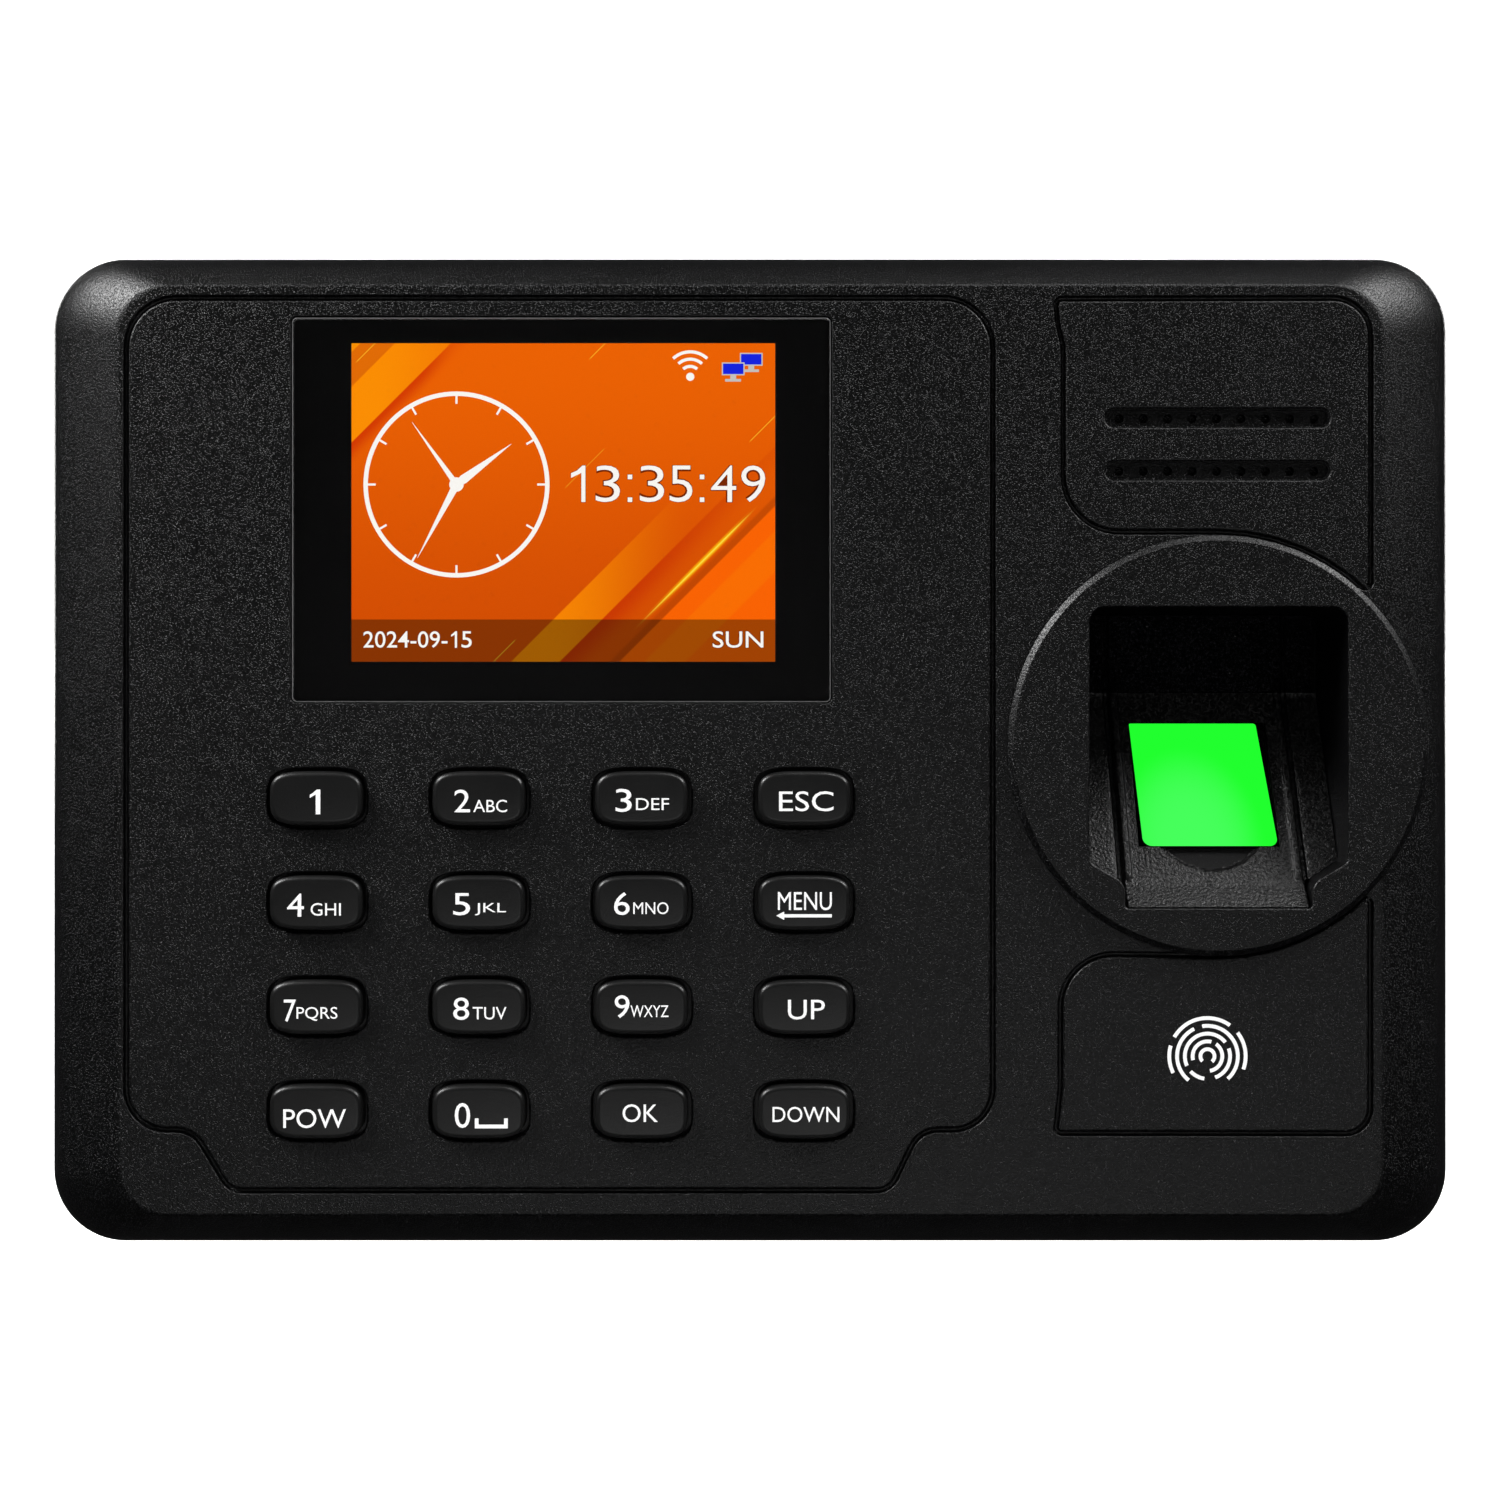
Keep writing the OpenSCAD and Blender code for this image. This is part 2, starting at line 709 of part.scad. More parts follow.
module tamper_plunger() {
    color("white") rod(tamper_at, 1.8, plate_t + 0.1, 8.4);
}

wall_plate();
lock_screw();
rear_cover();
front_shell();
case_screws();
sensor_bezel();
finger_guide();
sensor_glass();
sensor_housing();
sensor_board();
sensor_camera();
sensor_leds();
sensor_screws();
sensor_cable();
display_window();
window_seal();
lcd_module();
lcd_bracket();
bracket_screws();
lcd_ribbon();
for (i = [0:15]) key_cap(i);
keypad_mat();
keypad_board();
keypad_screws();
keypad_ribbon();
main_board();
processor();
memory_chips();
board_capacitors();
coin_cell();
wifi_module();
board_screws();
ethernet_jack();
usb_socket();
dc_jack();
backup_battery();
battery_lead();
speaker_basket();
speaker_cone();
speaker_magnet();
speaker_cloth();
speaker_screws();
speaker_lead();
tamper_switch();
tamper_plunger();
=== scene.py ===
import math
import bpy
import numpy as np
from mathutils import Matrix, Vector, geometry


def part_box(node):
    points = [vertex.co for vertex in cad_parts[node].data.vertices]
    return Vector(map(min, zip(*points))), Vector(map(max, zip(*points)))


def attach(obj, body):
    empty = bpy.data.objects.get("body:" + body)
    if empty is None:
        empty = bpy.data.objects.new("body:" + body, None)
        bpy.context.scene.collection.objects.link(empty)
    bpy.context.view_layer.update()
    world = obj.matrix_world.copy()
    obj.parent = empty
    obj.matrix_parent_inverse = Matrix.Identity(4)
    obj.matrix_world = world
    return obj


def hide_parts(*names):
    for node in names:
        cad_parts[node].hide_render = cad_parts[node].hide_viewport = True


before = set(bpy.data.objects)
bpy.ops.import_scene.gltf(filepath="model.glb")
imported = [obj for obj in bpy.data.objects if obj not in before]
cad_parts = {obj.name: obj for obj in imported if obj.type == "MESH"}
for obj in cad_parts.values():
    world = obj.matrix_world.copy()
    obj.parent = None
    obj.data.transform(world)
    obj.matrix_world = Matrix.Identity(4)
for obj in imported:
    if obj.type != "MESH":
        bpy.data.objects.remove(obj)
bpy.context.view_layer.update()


# ---- Wall plate ----
# A pressed plate of zinc-plated steel that is screwed to the wall. Its four hooks are folded out of
# the sheet and hold the back of the terminal, and one small black screw underneath locks it.

class Wire:
    """A value on its way through a material. Sums written with it add Math nodes."""

    def __init__(self, tree, socket):
        self.tree = tree
        self.socket = socket

    def node(self, kind, settings, inputs, out=0):
        """Adds a node: its settings first, then a number, a colour or a Wire for each socket."""
        made = self.tree.nodes.new(kind)
        for name, value in settings.items():
            setattr(made, name, value)
        for name, value in inputs.items():
            if isinstance(value, Wire):
                self.tree.links.new(value.socket, made.inputs[name])
            else:
                made.inputs[name].default_value = value
        return Wire(self.tree, made.outputs[out])

    def maths(self, operation, first, second=0.0):
        return self.node("ShaderNodeMath", {"operation": operation}, {0: first, 1: second})

    def __add__(self, other):
        return self.maths("ADD", self, other)

    def __radd__(self, other):
        return self.maths("ADD", other, self)

    def __sub__(self, other):
        return self.maths("SUBTRACT", self, other)

    def __rsub__(self, other):
        return self.maths("SUBTRACT", other, self)

    def __mul__(self, other):
        return self.maths("MULTIPLY", self, other)

    def __rmul__(self, other):
        return self.maths("MULTIPLY", other, self)

    def axes(self):
        """The X, Y and Z of a vector."""
        across = self.node("ShaderNodeSeparateXYZ", {}, {"Vector": self})
        return [Wire(self.tree, socket) for socket in across.socket.node.outputs]

    def stretch(self, x, y, z):
        return self.node("ShaderNodeVectorMath", {"operation": "MULTIPLY"}, {0: self, 1: (x, y, z)})

    def noise(self, scale, detail=3.0, roughness=0.55):
        return self.node("ShaderNodeTexNoise", {},
                         {"Vector": self, "Scale": scale, "Detail": detail, "Roughness": roughness})

    def cells(self, scale):
        """Distance to the nearest of many scattered points."""
        return self.node("ShaderNodeTexVoronoi", {}, {"Vector": self, "Scale": scale})

    def wave(self):
        return self.maths("SINE", self)

    def rise(self, low, high):
        """Goes smoothly from 0 at low to 1 at high."""
        return self.node("ShaderNodeMapRange", {"interpolation_type": "SMOOTHSTEP"},
                         {"Value": self, "From Min": low, "From Max": high})

    def blend(self, low, high):
        """A colour between low and high."""
        return self.node("ShaderNodeMix", {"data_type": "RGBA"}, {0: self, 6: low, 7: high}, out=2)

    def bump(self, height):
        return self.node("ShaderNodeBump", {}, {"Height": self, "Distance": height})


def finish(name, fixed, vary):
    """A material: fixed values go straight on the shader, and vary says what changes with place."""
    made = bpy.data.materials.new(name)
    made.use_nodes = True
    tree = made.node_tree
    shader = tree.nodes["Principled BSDF"]
    for socket, value in fixed.items():
        shader.inputs[socket].default_value = value
    place = Wire(tree, tree.nodes.new("ShaderNodeTexCoord").outputs["Object"])
    for socket, wire in vary(place).items():
        tree.links.new(wire.socket, shader.inputs[socket])
    return made


def shade(value, tint=(1.0, 1.0, 1.0)):
    """A grey, or a grey tinted a little."""
    return (value * tint[0], value * tint[1], value * tint[2], 1.0)


def dress(material, *names):
    """Gives CAD pieces their material."""
    for name in names:
        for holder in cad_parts[name].material_slots:
            holder.material = material


def zinc(place):
    spangle = place.node("ShaderNodeTexVoronoi", {}, {"Vector": place, "Scale": 190}, out=1).axes()[0]
    rolled = place.stretch(1, 1, 14).noise(420, 4)
    return {"Base Color": spangle.blend(shade(0.5), shade(0.6, (0.96, 1, 1.04))),
            "Roughness": rolled * 0.18 + spangle * 0.12 + 0.24,
            "Normal": rolled.bump(0.00003)}


zinc_steel = finish("zinc_steel", {"Metallic": 0.8}, zinc)
dress(zinc_steel, "wall_plate")


def grainy(scale, low, high, rough, spread, height=0.0, detail=2, pull=(1, 1, 1)):
    """An even finish. One grain, which may be pulled out along an axis as brushing or drawing does,
    moves the colour between low and high, the roughness up by its spread, and a fine bump."""
    def vary(place):
        grain = place.stretch(*pull).noise(scale, detail)
        found = {"Base Color": grain.blend(low, high), "Roughness": grain * spread + rough}
        if height:
            found["Normal"] = grain.bump(height)
        return found
    return vary


blackened = grainy(2600, shade(0.03), shade(0.07), 0.3, 0.25, 0.00002, detail=3, pull=(1, 1, 3))
black_screw = finish("blackened_screw", {"Metallic": 1.0}, blackened)
dress(black_screw, "lock_screw", "case_screws")


# ---- Rear cover ----
# The back half of the case: injection-moulded black ABS with a fine spark-eroded texture. It carries
# the main board, hangs on the plate's hooks and has a pocket at the bottom for the plugs.

def moulded(grain_depth, sheen):
    """Black ABS: a fine pebbled grain, faint cloudiness and a few specks of dust."""
    def vary(place):
        grain = place.noise(3600, 2, 0.6)
        cloud = place.noise(45, 3)
        pit = place.cells(4600).rise(0.45, 0.12)
        speck = place.cells(420).rise(0.06, 0.035)
        bright = (grain.rise(0.5, 0.72) * 0.9 + pit * 0.9 - 0.25) * (cloud.rise(0.3, 0.7) * 0.5 + 0.6)
        plain = bright.blend(shade(0.0003, (0.96, 0.98, 1.2)), shade(0.0135, (0.98, 0.98, 1.15)))
        return {"Base Color": (speck * 0.6).blend(plain, shade(0.06)),
                "Roughness": grain * 0.14 + cloud * 0.05 + sheen,
                "Normal": (grain + pit * 0.5 + speck * 0.3).bump(grain_depth)}
    return vary


case_black = finish("case_black", {"Specular IOR Level": 0.45}, moulded(0.000075, 0.24))
dress(case_black, "rear_cover")


# ---- Main board ----
# A green glass-fibre circuit board screwed to posts in the rear cover. It carries the processor,
# memory, clock cell, radio module and the three sockets, with a backup battery beside it.

def solder_mask(place):
    x, y, z = place.axes()
    tracks = (x * 5200 + place.noise(60, 1) * 9).wave().rise(0.2, 0.5)
    runs = (z * 4600 + place.noise(45, 1) * 7).wave().rise(0.35, 0.6)
    area = place.noise(90, 1).rise(0.47, 0.5)
    copper = area * tracks + (1 - area) * runs
    pads = place.cells(420).rise(0.22, 0.18)
    green = copper.blend(shade(0.02, (0.35, 1, 0.5)), shade(0.05, (0.4, 1, 0.5)))
    return {"Base Color": pads.blend(green, (0.62, 0.6, 0.5, 1)),
            "Roughness": pads * 0.15 + 0.28,
            "Metallic": pads * 0.9,
            "Normal": (copper + pads).bump(0.00004)}


board_green = finish("solder_mask", {"Coat Weight": 0.3}, solder_mask)
dress(board_green, "main_board", "keypad_board", "sensor_board")


epoxy = grainy(3000, shade(0.012), shade(0.03), 0.45, 0.2, 0.00002)
chip_black = finish("chip_epoxy", {}, epoxy)
dress(chip_black, "processor", "memory_chips", "sensor_camera", "tamper_switch", "dc_jack")

tinned = grainy(1800, shade(0.5), shade(0.66, (1, 0.99, 0.96)), 0.2, 0.2, 0.000015, detail=3,
                pull=(1, 1, 0.1))
can_tin = finish("tinned_can", {"Metallic": 1.0}, tinned)
dress(can_tin, "board_capacitors", "coin_cell", "wifi_module", "ethernet_jack", "usb_socket",
      "lcd_bracket", "speaker_basket")
dress(zinc_steel, "board_screws", "keypad_screws", "bracket_screws", "sensor_screws",
      "speaker_screws")

shrink_wrap = grainy(160, (0.01, 0.05, 0.2, 1), (0.02, 0.09, 0.32, 1), 0.22, 0.2, 0.0001, detail=4,
                     pull=(1, 1, 5))
dress(finish("battery_wrap", {"Coat Weight": 0.2}, shrink_wrap), "backup_battery")

red_vinyl = grainy(900, (0.32, 0.012, 0.01, 1), (0.45, 0.02, 0.015, 1), 0.4, 0.15, 0.00002)
dress(finish("lead_insulation", {}, red_vinyl), "battery_lead", "speaker_lead")


def flat_cable(place):
    x, y, z = place.axes()
    line = ((x + z + y) * 6283).wave().rise(-0.2, 0.4)
    return {"Base Color": line.blend(shade(0.42), shade(0.75)),
            "Roughness": line * 0.2 + 0.35,
            "Normal": line.bump(0.00005)}


dress(finish("flat_cable", {}, flat_cable), "sensor_cable", "keypad_ribbon")


def film(place):
    x, y, z = place.axes()
    line = (x * 9000).wave().rise(0.0, 0.4)
    return {"Base Color": line.blend((0.35, 0.1, 0.01, 1), (0.55, 0.22, 0.03, 1)),
            "Roughness": line * 0.15 + 0.25,
            "Normal": line.bump(0.00003)}


dress(finish("amber_film", {}, film), "lcd_ribbon")


# ---- Front shell ----
# The front half of the case, injection-moulded in the same black ABS. Its border is a rounded slope,
# and moulded grooves draw three panels on the face: display and keys, loudspeaker, and maker's panel.

MM = 0.001


class Skin:
    """Gathers one piece's faces in millimetres as (x, depth, z), depth being towards the viewer.
    Each corner of a face keeps the normal that it was given, so that rounds shade smoothly."""

    def __init__(self):
        self.index = {}
        self.points = []
        self.faces = []
        self.normals = []
        self.layers = []

    def corner(self, point):
        key = tuple(round(value, 4) for value in point)
        if key not in self.index:
            self.index[key] = len(self.points)
            self.points.append(Vector((point[0], -point[1], point[2])) * MM)
        return self.index[key]

    def face(self, points, normals, layer=0):
        corners = []
        kept = []
        for point, normal in zip(points, normals):
            corner = self.corner(point)
            if corner not in corners:
                corners.append(corner)
                kept.append(Vector((normal[0], -normal[1], normal[2])).normalized())
        if len(corners) < 3:
            return
        way = geometry.normal([self.points[corner] for corner in corners])
        if way.dot(sum(kept, Vector())) < 0:
            corners.reverse()
            kept.reverse()
        self.faces.append(corners)
        self.normals.extend(kept)
        self.layers.append(layer)

    def band(self, first, second, layer=0):
        """Joins two closed rings of (point, normal) corners."""
        for i in range(len(first)):
            quad = (first[i - 1], first[i], second[i], second[i - 1])
            self.face([point for point, normal in quad], [normal for point, normal in quad], layer)

    def finish(self, name, *materials):
        mesh = bpy.data.meshes.new(name)
        mesh.from_pydata(self.points, [], self.faces, shade_flat=False)
        for material in materials:
            mesh.materials.append(material)
        mesh.polygons.foreach_set("material_index", self.layers)
        mesh.normals_split_custom_set(self.normals)
        piece = bpy.data.objects.new(name, mesh)
        bpy.context.scene.collection.objects.link(piece)
        return piece


def outline(corners, steps=0):
    """A closed line through (x, z, radius) corners, given anticlockwise, as points with outward
    normals. Rounds are true arcs, with a point every 8 degrees or a fixed number of steps."""
    line = []
    for before, here, after in zip(corners[-1:] + corners[:-1], corners, corners[1:] + corners[:1]):
        start = math.atan2(here[1] - before[1], here[0] - before[0])
        turn = math.remainder(math.atan2(after[1] - here[1], after[0] - here[0]) - start, math.tau)
        reach = here[2] * math.tan(abs(turn) / 2)
        side = math.copysign(here[2], turn)
        out = start - math.pi / 2
        centre_x = here[0] - reach * math.cos(start) - side * math.cos(out)
        centre_z = here[1] - reach * math.sin(start) - side * math.sin(out)
        count = steps or max(2, math.ceil(abs(turn) / math.radians(8)))
        for step in range(count + 1):
            angle = out + turn * step / count
            line.append((centre_x + side * math.cos(angle), centre_z + side * math.sin(angle),
                         math.cos(angle), math.sin(angle)))
    return line


def moved_out(line, offset):
    """The same line further out, or further in where the offset is negative."""
    return [(x + nx * offset, z + nz * offset, nx, nz) for x, z, nx, nz in line]


def bend(offset, depth, radius, start, end, steps=5):
    """An arc of a profile as (offset, depth, lean); lean 0 faces the viewer and 90 faces outwards."""
    arc = []
    for step in range(steps + 1):
        lean = start + (end - start) * step / steps
        angle = math.radians(lean)
        arc.append((offset + radius * math.sin(angle), depth + radius * math.cos(angle), lean))
    return arc


def sweep(skin, line, profile, layer=0):
    """Runs a profile round a closed line."""
    rings = []
    for offset, depth, lean in profile:
        sin = math.sin(math.radians(lean))
        cos = math.cos(math.radians(lean))
        rings.append([((x + nx * offset, depth, z + nz * offset), (nx * sin, cos, nz * sin))
                      for x, z, nx, nz in line])
    for first, second in zip(rings, rings[1:]):
        skin.band(first, second, layer)


def inside(line, points):
    """Which points lie inside a closed line."""
    found = np.zeros(len(points), bool)
    for a, b in zip(line, line[1:] + line[:1]):
        if a[1] != b[1]:
            crosses = (a[1] > points[:, 1]) != (b[1] > points[:, 1])
            found ^= crosses & (points[:, 0] < (b[0] - a[0]) * (points[:, 1] - a[1]) / (b[1] - a[1])
                                + a[0])
    return found


def flat(skin, rim, holes, depth, facing=1, layer=0):
    """Fills between a rim and its holes. The depth is a number, or a function of x and z."""
    spots = []
    edges = []
    for line in [rim] + holes:
        start = len(spots)
        for point in line:
            if len(spots) == start or math.dist(spots[-1], point[:2]) > 1e-5:
                spots.append((point[0], point[1]))
        if math.dist(spots[-1], spots[start]) < 1e-5:
            spots.pop()
        edges += [(i, i + 1) for i in range(start, len(spots) - 1)] + [(len(spots) - 1, start)]
    cut = geometry.delaunay_2d_cdt([Vector(spot) for spot in spots], edges, [], 0, 1e-7)
    triangles = [[spots[cut[3][corner][0]] for corner in face] for face in cut[2]]
    middles = np.array([[sum(p[0] for p in t) / 3, sum(p[1] for p in t) / 3] for t in triangles])
    kept = inside(rim, middles)
    for line in holes:
        kept &= ~inside(line, middles)
    for triangle, keep in zip(triangles, kept):
        if keep:
            place = [(x, depth(x, z) if callable(depth) else depth, z) for x, z in triangle]
            skin.face(place, [(0, facing, 0)] * 3, layer)


def loft(skin, rows, facing=1):
    """Joins lines of equal length at different depths, given from the front to the back."""
    leans = []
    for i, (line, depth) in enumerate(rows):
        above, high = rows[max(i - 1, 0)]
        below, low = rows[min(i + 1, len(rows) - 1)]
        leans.append([math.atan2(high - low, (b[0] - a[0]) * n[2] + (b[1] - a[1]) * n[3])
                      for a, b, n in zip(above, below, line)])
    leans[0] = [0.0] * len(rows[0][0])
    placed = []
    for (line, depth), lean in zip(rows, leans):
        placed.append([((x, depth, z),
                        (facing * nx * math.sin(a), facing * math.cos(a), facing * nz * math.sin(a)))
                       for (x, z, nx, nz), a in zip(line, lean)])
    for first, second in zip(placed, placed[1:]):
        skin.band(first, second)


def low_of(node):
    """The low corner of a CAD piece's box in millimetres."""
    return [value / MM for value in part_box(node)[0]]


def high_of(node):
    """The high corner of a CAD piece's box in millimetres."""
    return [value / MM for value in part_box(node)[1]]


case_w = high_of("front_shell")[0] - low_of("front_shell")[0]
case_h = high_of("front_shell")[2] - low_of("front_shell")[2]
face = -low_of("front_shell")[1]
parting = -high_of("front_shell")[1]
wall = 2.4
border = (11.0, 5.3)
border_drop = 10.0
border_power = 1.8
case_r = 10.0
face_r = 7.0
inner = face - wall


def case_line(share, margin=0.0):
    """The case's outline where its border has come in by a share of its full width."""
    w = case_w / 2 - border[0] * share
    h = case_h / 2 - border[1] * share
    r = case_r + (face_r - case_r) * share
    square = [(w, -h, r), (w, h, r), (-w, h, r), (-w, -h, r)]
    return moved_out(outline(square, 16), -margin)


def border_share(drop):
    """How far in the border has come where it has dropped so far behind the face."""
    return (1 - drop / border_drop) ** border_power


def stadium(x, z, length, width):
    """A slot's outline, with round ends."""
    r = width / 2
    ends = [(x + length / 2, z - r, r), (x + length / 2, z + r, r),
            (x - length / 2, z + r, r), (x - length / 2, z - r, r)]
    return outline(ends, 10)


def circle(x, z, radius, steps=24):
    return [(x + radius * math.cos(a), z + radius * math.sin(a), math.cos(a), math.sin(a))
            for a in (math.tau * i / steps for i in range(steps))]


def barrel(x, z, width, height, power=3.7, steps=72):
    """The barrel-sided outline that a key and its hole share."""
    line = []
    for i in range(steps):
        c = math.cos(math.tau * i / steps)
        s = math.sin(math.tau * i / steps)
        px = width / 2 * math.copysign(abs(c) ** (2 / power), c)
        pz = height / 2 * math.copysign(abs(s) ** (2 / power), s)
        nx = math.copysign(abs(c) ** (2 - 2 / power), c) / width
        nz = math.copysign(abs(s) ** (2 - 2 / power), s) / height
        size = math.hypot(nx, nz)
        line.append((x + px, z + pz, nx / size, nz / size))
    return line


main_panel = outline([(-84.2, 61, 6.8), (-84.2, -51.3, 5.5), (-75.2, -51.3, 4), (-70.2, -59.5, 3),
                      (18.9, -59.5, 3), (22.9, -51.3, 4), (32.8, -51.3, 5.5), (32.8, 61, 6.8)])
speaker_panel = outline([(41.25, 60.9, 0.8), (41.45, 57.9, 5), (42.25, 54.3, 5), (42.25, 29.4, 7.6),
                         (75.3, 29.4, 28.8), (83.8, 20.7, 0.8), (83.8, 61, 5.2)])
maker_panel = outline([(41.9, -27.5, 7.2), (41.9, -45.5, 5), (41.55, -49, 5), (41.25, -51.75, 0.8),
                       (83.75, -51.8, 3.4), (83.75, -18.9, 0.8), (75.35, -27.8, 28.4)])

keys = ["key_1", "key_2", "key_3", "key_esc", "key_4", "key_5", "key_6", "key_menu",
        "key_7", "key_8", "key_9", "key_up", "key_power", "key_0", "key_ok", "key_down"]
key_hole = (13.4, 8.1)
key_hole_r = 0.34
seat_r = 0.15
tube_room = 1.75


def middle(node):
    """The middle of a CAD piece across the face."""
    low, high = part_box(node)
    return ((low.x + high.x) / 2 / MM, (low.z + high.z) / 2 / MM)


window_c = middle("display_window")
window = (73.0, 52.2)
window_floor = face - 1.6
opening = (67.4, 46.9)
pad = (76.4, 53.8)
pad_back = face - 3.1
slots = [(63.1, 44.8), (63.1, 37.7)]
slot_size = (30.4, 2.6)
slot_r = 0.3
slot_step = 0.25
slot_ledge = face - 0.4
slot_floor = face - 1.1
sound_pitch = 3.3
sound_r = 0.62
bay_c = (63.1, 0.0)


def mouth(margin=0.0):
    """The finger bay's mouth: a wide opening that narrows to a channel at the bottom."""
    sides = [(12.6, -21.3, 0.5), (12.6, -17.9, 2.4), (17.4, -15.1, 1.2), (17.4, 19.25, 2.2)]
    right = [(bay_c[0] + x, bay_c[1] + z, r) for x, z, r in sides]
    left = [(bay_c[0] - x, bay_c[1] + z, r) for x, z, r in reversed(sides)]
    return moved_out(outline(right + left), margin)


def rectangle(centre, size, r):
    """A rectangle with round corners."""
    x, z = centre
    w, h = size[0] / 2, size[1] / 2
    return outline([(x + w, z - h, r), (x + w, z + h, r), (x - w, z + h, r), (x - w, z - h, r)])


shell = Skin()
drops = [0.6, 1, 1.5, 2.1, 2.8, 3.6, 4.5, 5.5, 6.6, 7.8, 9, 10]
border_rows = [(1.05, 0), (1.025, 0.02), (1.0, 0.07), (0.972, 0.16), (0.945, 0.31)]
border_rows += [(border_share(drop), drop) for drop in drops]
loft(shell, [(case_line(share), face - drop) for share, drop in border_rows])
seam_r = 0.3
shell_edge = case_line(0)
side_top = face - border_drop
sweep(shell, shell_edge, [(0, side_top, 90)] + bend(-seam_r, parting + seam_r, seam_r, 90, 180)
      + [(-wall, parting, 180), (-wall, parting, 270), (-wall, side_top - wall, 270)])
inner_rows = [(case_line(share, wall), face - drop - wall) for share, drop in border_rows[::2]]
loft(shell, inner_rows, -1)

# the grooves round the panels, and the flat faces between them
groove_out = 0.53
groove_in = -0.68
groove = bend(groove_out, face - 0.2, 0.2, 0, -90, 3)
groove += bend(0, face - 0.42, -0.33, -90, 90, 6)
groove += bend(groove_in, face - 0.35, 0.35, 90, 0, 4)
panels = (main_panel, speaker_panel, maker_panel)
for panel_line in panels:
    sweep(shell, panel_line, groove)
key_holes = [barrel(*middle(name), *key_hole) for name in keys]
bay_hole = mouth(tube_room)
groove_lines = [moved_out(panel_line, groove_out) for panel_line in panels]
flat(shell, case_line(1.05), groove_lines + [bay_hole], face)
window_line = rectangle(window_c, window, 0.8)
slot_lines = [stadium(x, z, *slot_size) for x, z in slots]
hole_lines = [moved_out(window_line, seat_r)] + [moved_out(line, key_hole_r) for line in key_holes]
flat(shell, moved_out(main_panel, groove_in), hole_lines, face)
flat(shell, moved_out(speaker_panel, groove_in), [moved_out(line, slot_r) for line in slot_lines], face)
flat(shell, moved_out(maker_panel, groove_in), [], face)

# the seat of the window, and the holes of the keys and of the finger bay
opening_line = rectangle(window_c, opening, 0.5)
pad_line = rectangle(window_c, pad, 2)
sweep(shell, window_line, bend(seat_r, face - seat_r, seat_r, 0, -90, 3) + [(0, window_floor, -90)])
flat(shell, window_line, [opening_line], window_floor)
sweep(shell, opening_line, [(0, window_floor, -90), (0, pad_back, -90)])
flat(shell, pad_line, [opening_line], pad_back, -1)
sweep(shell, pad_line, [(0, pad_back, 90), (0, inner, 90)])
for line in key_holes:
    sweep(shell, line, bend(key_hole_r, face - key_hole_r, key_hole_r, 0, -90) + [(0, inner, -90)])
sweep(shell, bay_hole, [(0, face, -90), (0, inner, -90)])

# the sound slots, each with a row of small holes in its floor
sound_holes = []
for (x, z), line in zip(slots, slot_lines):
    sweep(shell, line, bend(slot_r, face - slot_r, slot_r, 0, -90, 4)
          + [(0, slot_ledge, -90), (0, slot_ledge, 0), (-slot_step, slot_ledge, 0),
             (-slot_step, slot_ledge, -90), (-slot_step, slot_floor, -90)])
    row = [circle(x + sound_pitch * step, z, sound_r, 16) for step in range(-4, 5)]
    flat(shell, moved_out(line, -slot_step), row, slot_floor)
    for hole in row:
        sweep(shell, hole, [(0, slot_floor, -90), (0, inner, -90)])
    sound_holes += row
flat(shell, inner_rows[0][0], [pad_line, bay_hole] + key_holes + sound_holes, inner, -1)
front = shell.finish("front_case", case_black)
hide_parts("front_shell")
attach(front, "terminal")


# ---- Display window ----
# A flat acrylic lens set flush in the front shell, stuck down on a thin foam gasket. Its border is
# printed black on the back, so that only the picture shows.

def plate(skin, line, holes, back, front, layer=0):
    """A thin flat solid with a given outline and holes."""
    flat(skin, line, holes, front, 1, layer)
    flat(skin, line, holes, back, -1, layer)
    sweep(skin, line, [(0, front, 90), (0, back, 90)], layer)
    for hole in holes:
        sweep(skin, hole, [(0, front, -90), (0, back, -90)], layer)


lens_size = (72.7, 51.9)
lens_front = -low_of("display_window")[1]
lens_back = -high_of("display_window")[1] + 0.04
print_opening = (57.7, 43.3)
print_c = (-25.25, 33.5)


def acrylic(place):
    smear = place.noise(35, 4)
    return {"Roughness": smear.rise(0.5, 0.75) * 0.03 + 0.015}


printed_black = grainy(2500, shade(0.002), shade(0.004), 0.25, 0.1)
# The lens's rounded rim is light grey. Part of that is the frosted cut edge of the acrylic, and part is a
# painted highlight round the window.
sawn_edge_and_highlight = grainy(1600, shade(0.05), shade(0.16), 0.35, 0.2, detail=3, pull=(1, 8, 1))
clear_lens = finish("acrylic_lens", {"Transmission Weight": 1.0, "IOR": 1.49}, acrylic)
lens_edge_and_highlight = finish("acrylic_edge_and_highlight", {}, sawn_edge_and_highlight)
border_black = finish("printed_border", {"Specular IOR Level": 0.2}, printed_black)
lens = Skin()
lens_line = rectangle(window_c, lens_size, 0.7)
edge = 0.14
# the rounded rim, in the light grey of the cut edge and its painted highlight
sweep(lens, lens_line, bend(-edge, lens_front - edge, edge, 0, 90, 4)
      + bend(-edge, lens_back + edge, edge, 90, 180, 4), 1)
flat(lens, moved_out(lens_line, -edge), [], lens_front)
flat(lens, moved_out(lens_line, -edge), [], lens_back, -1)
lens_piece = lens.finish("window_lens", clear_lens, lens_edge_and_highlight)
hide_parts("display_window")
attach(lens_piece, "terminal")

mask = Skin()
print_front = lens_back - 0.01
print_back = lens_back - 0.03
plate(mask, moved_out(lens_line, -0.3), [rectangle(print_c, print_opening, 0.3)], print_back,
      print_front)
mask_piece = mask.finish("window_border", border_black)
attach(mask_piece, "terminal")


def foam(place):
    pore = place.cells(3200)
    return {"Base Color": pore.blend(shade(0.01), shade(0.04)),
            "Roughness": pore * 0.2 + 0.8,
            "Normal": pore.bump(0.0001)}


dress(finish("gasket_foam", {}, foam), "window_seal")


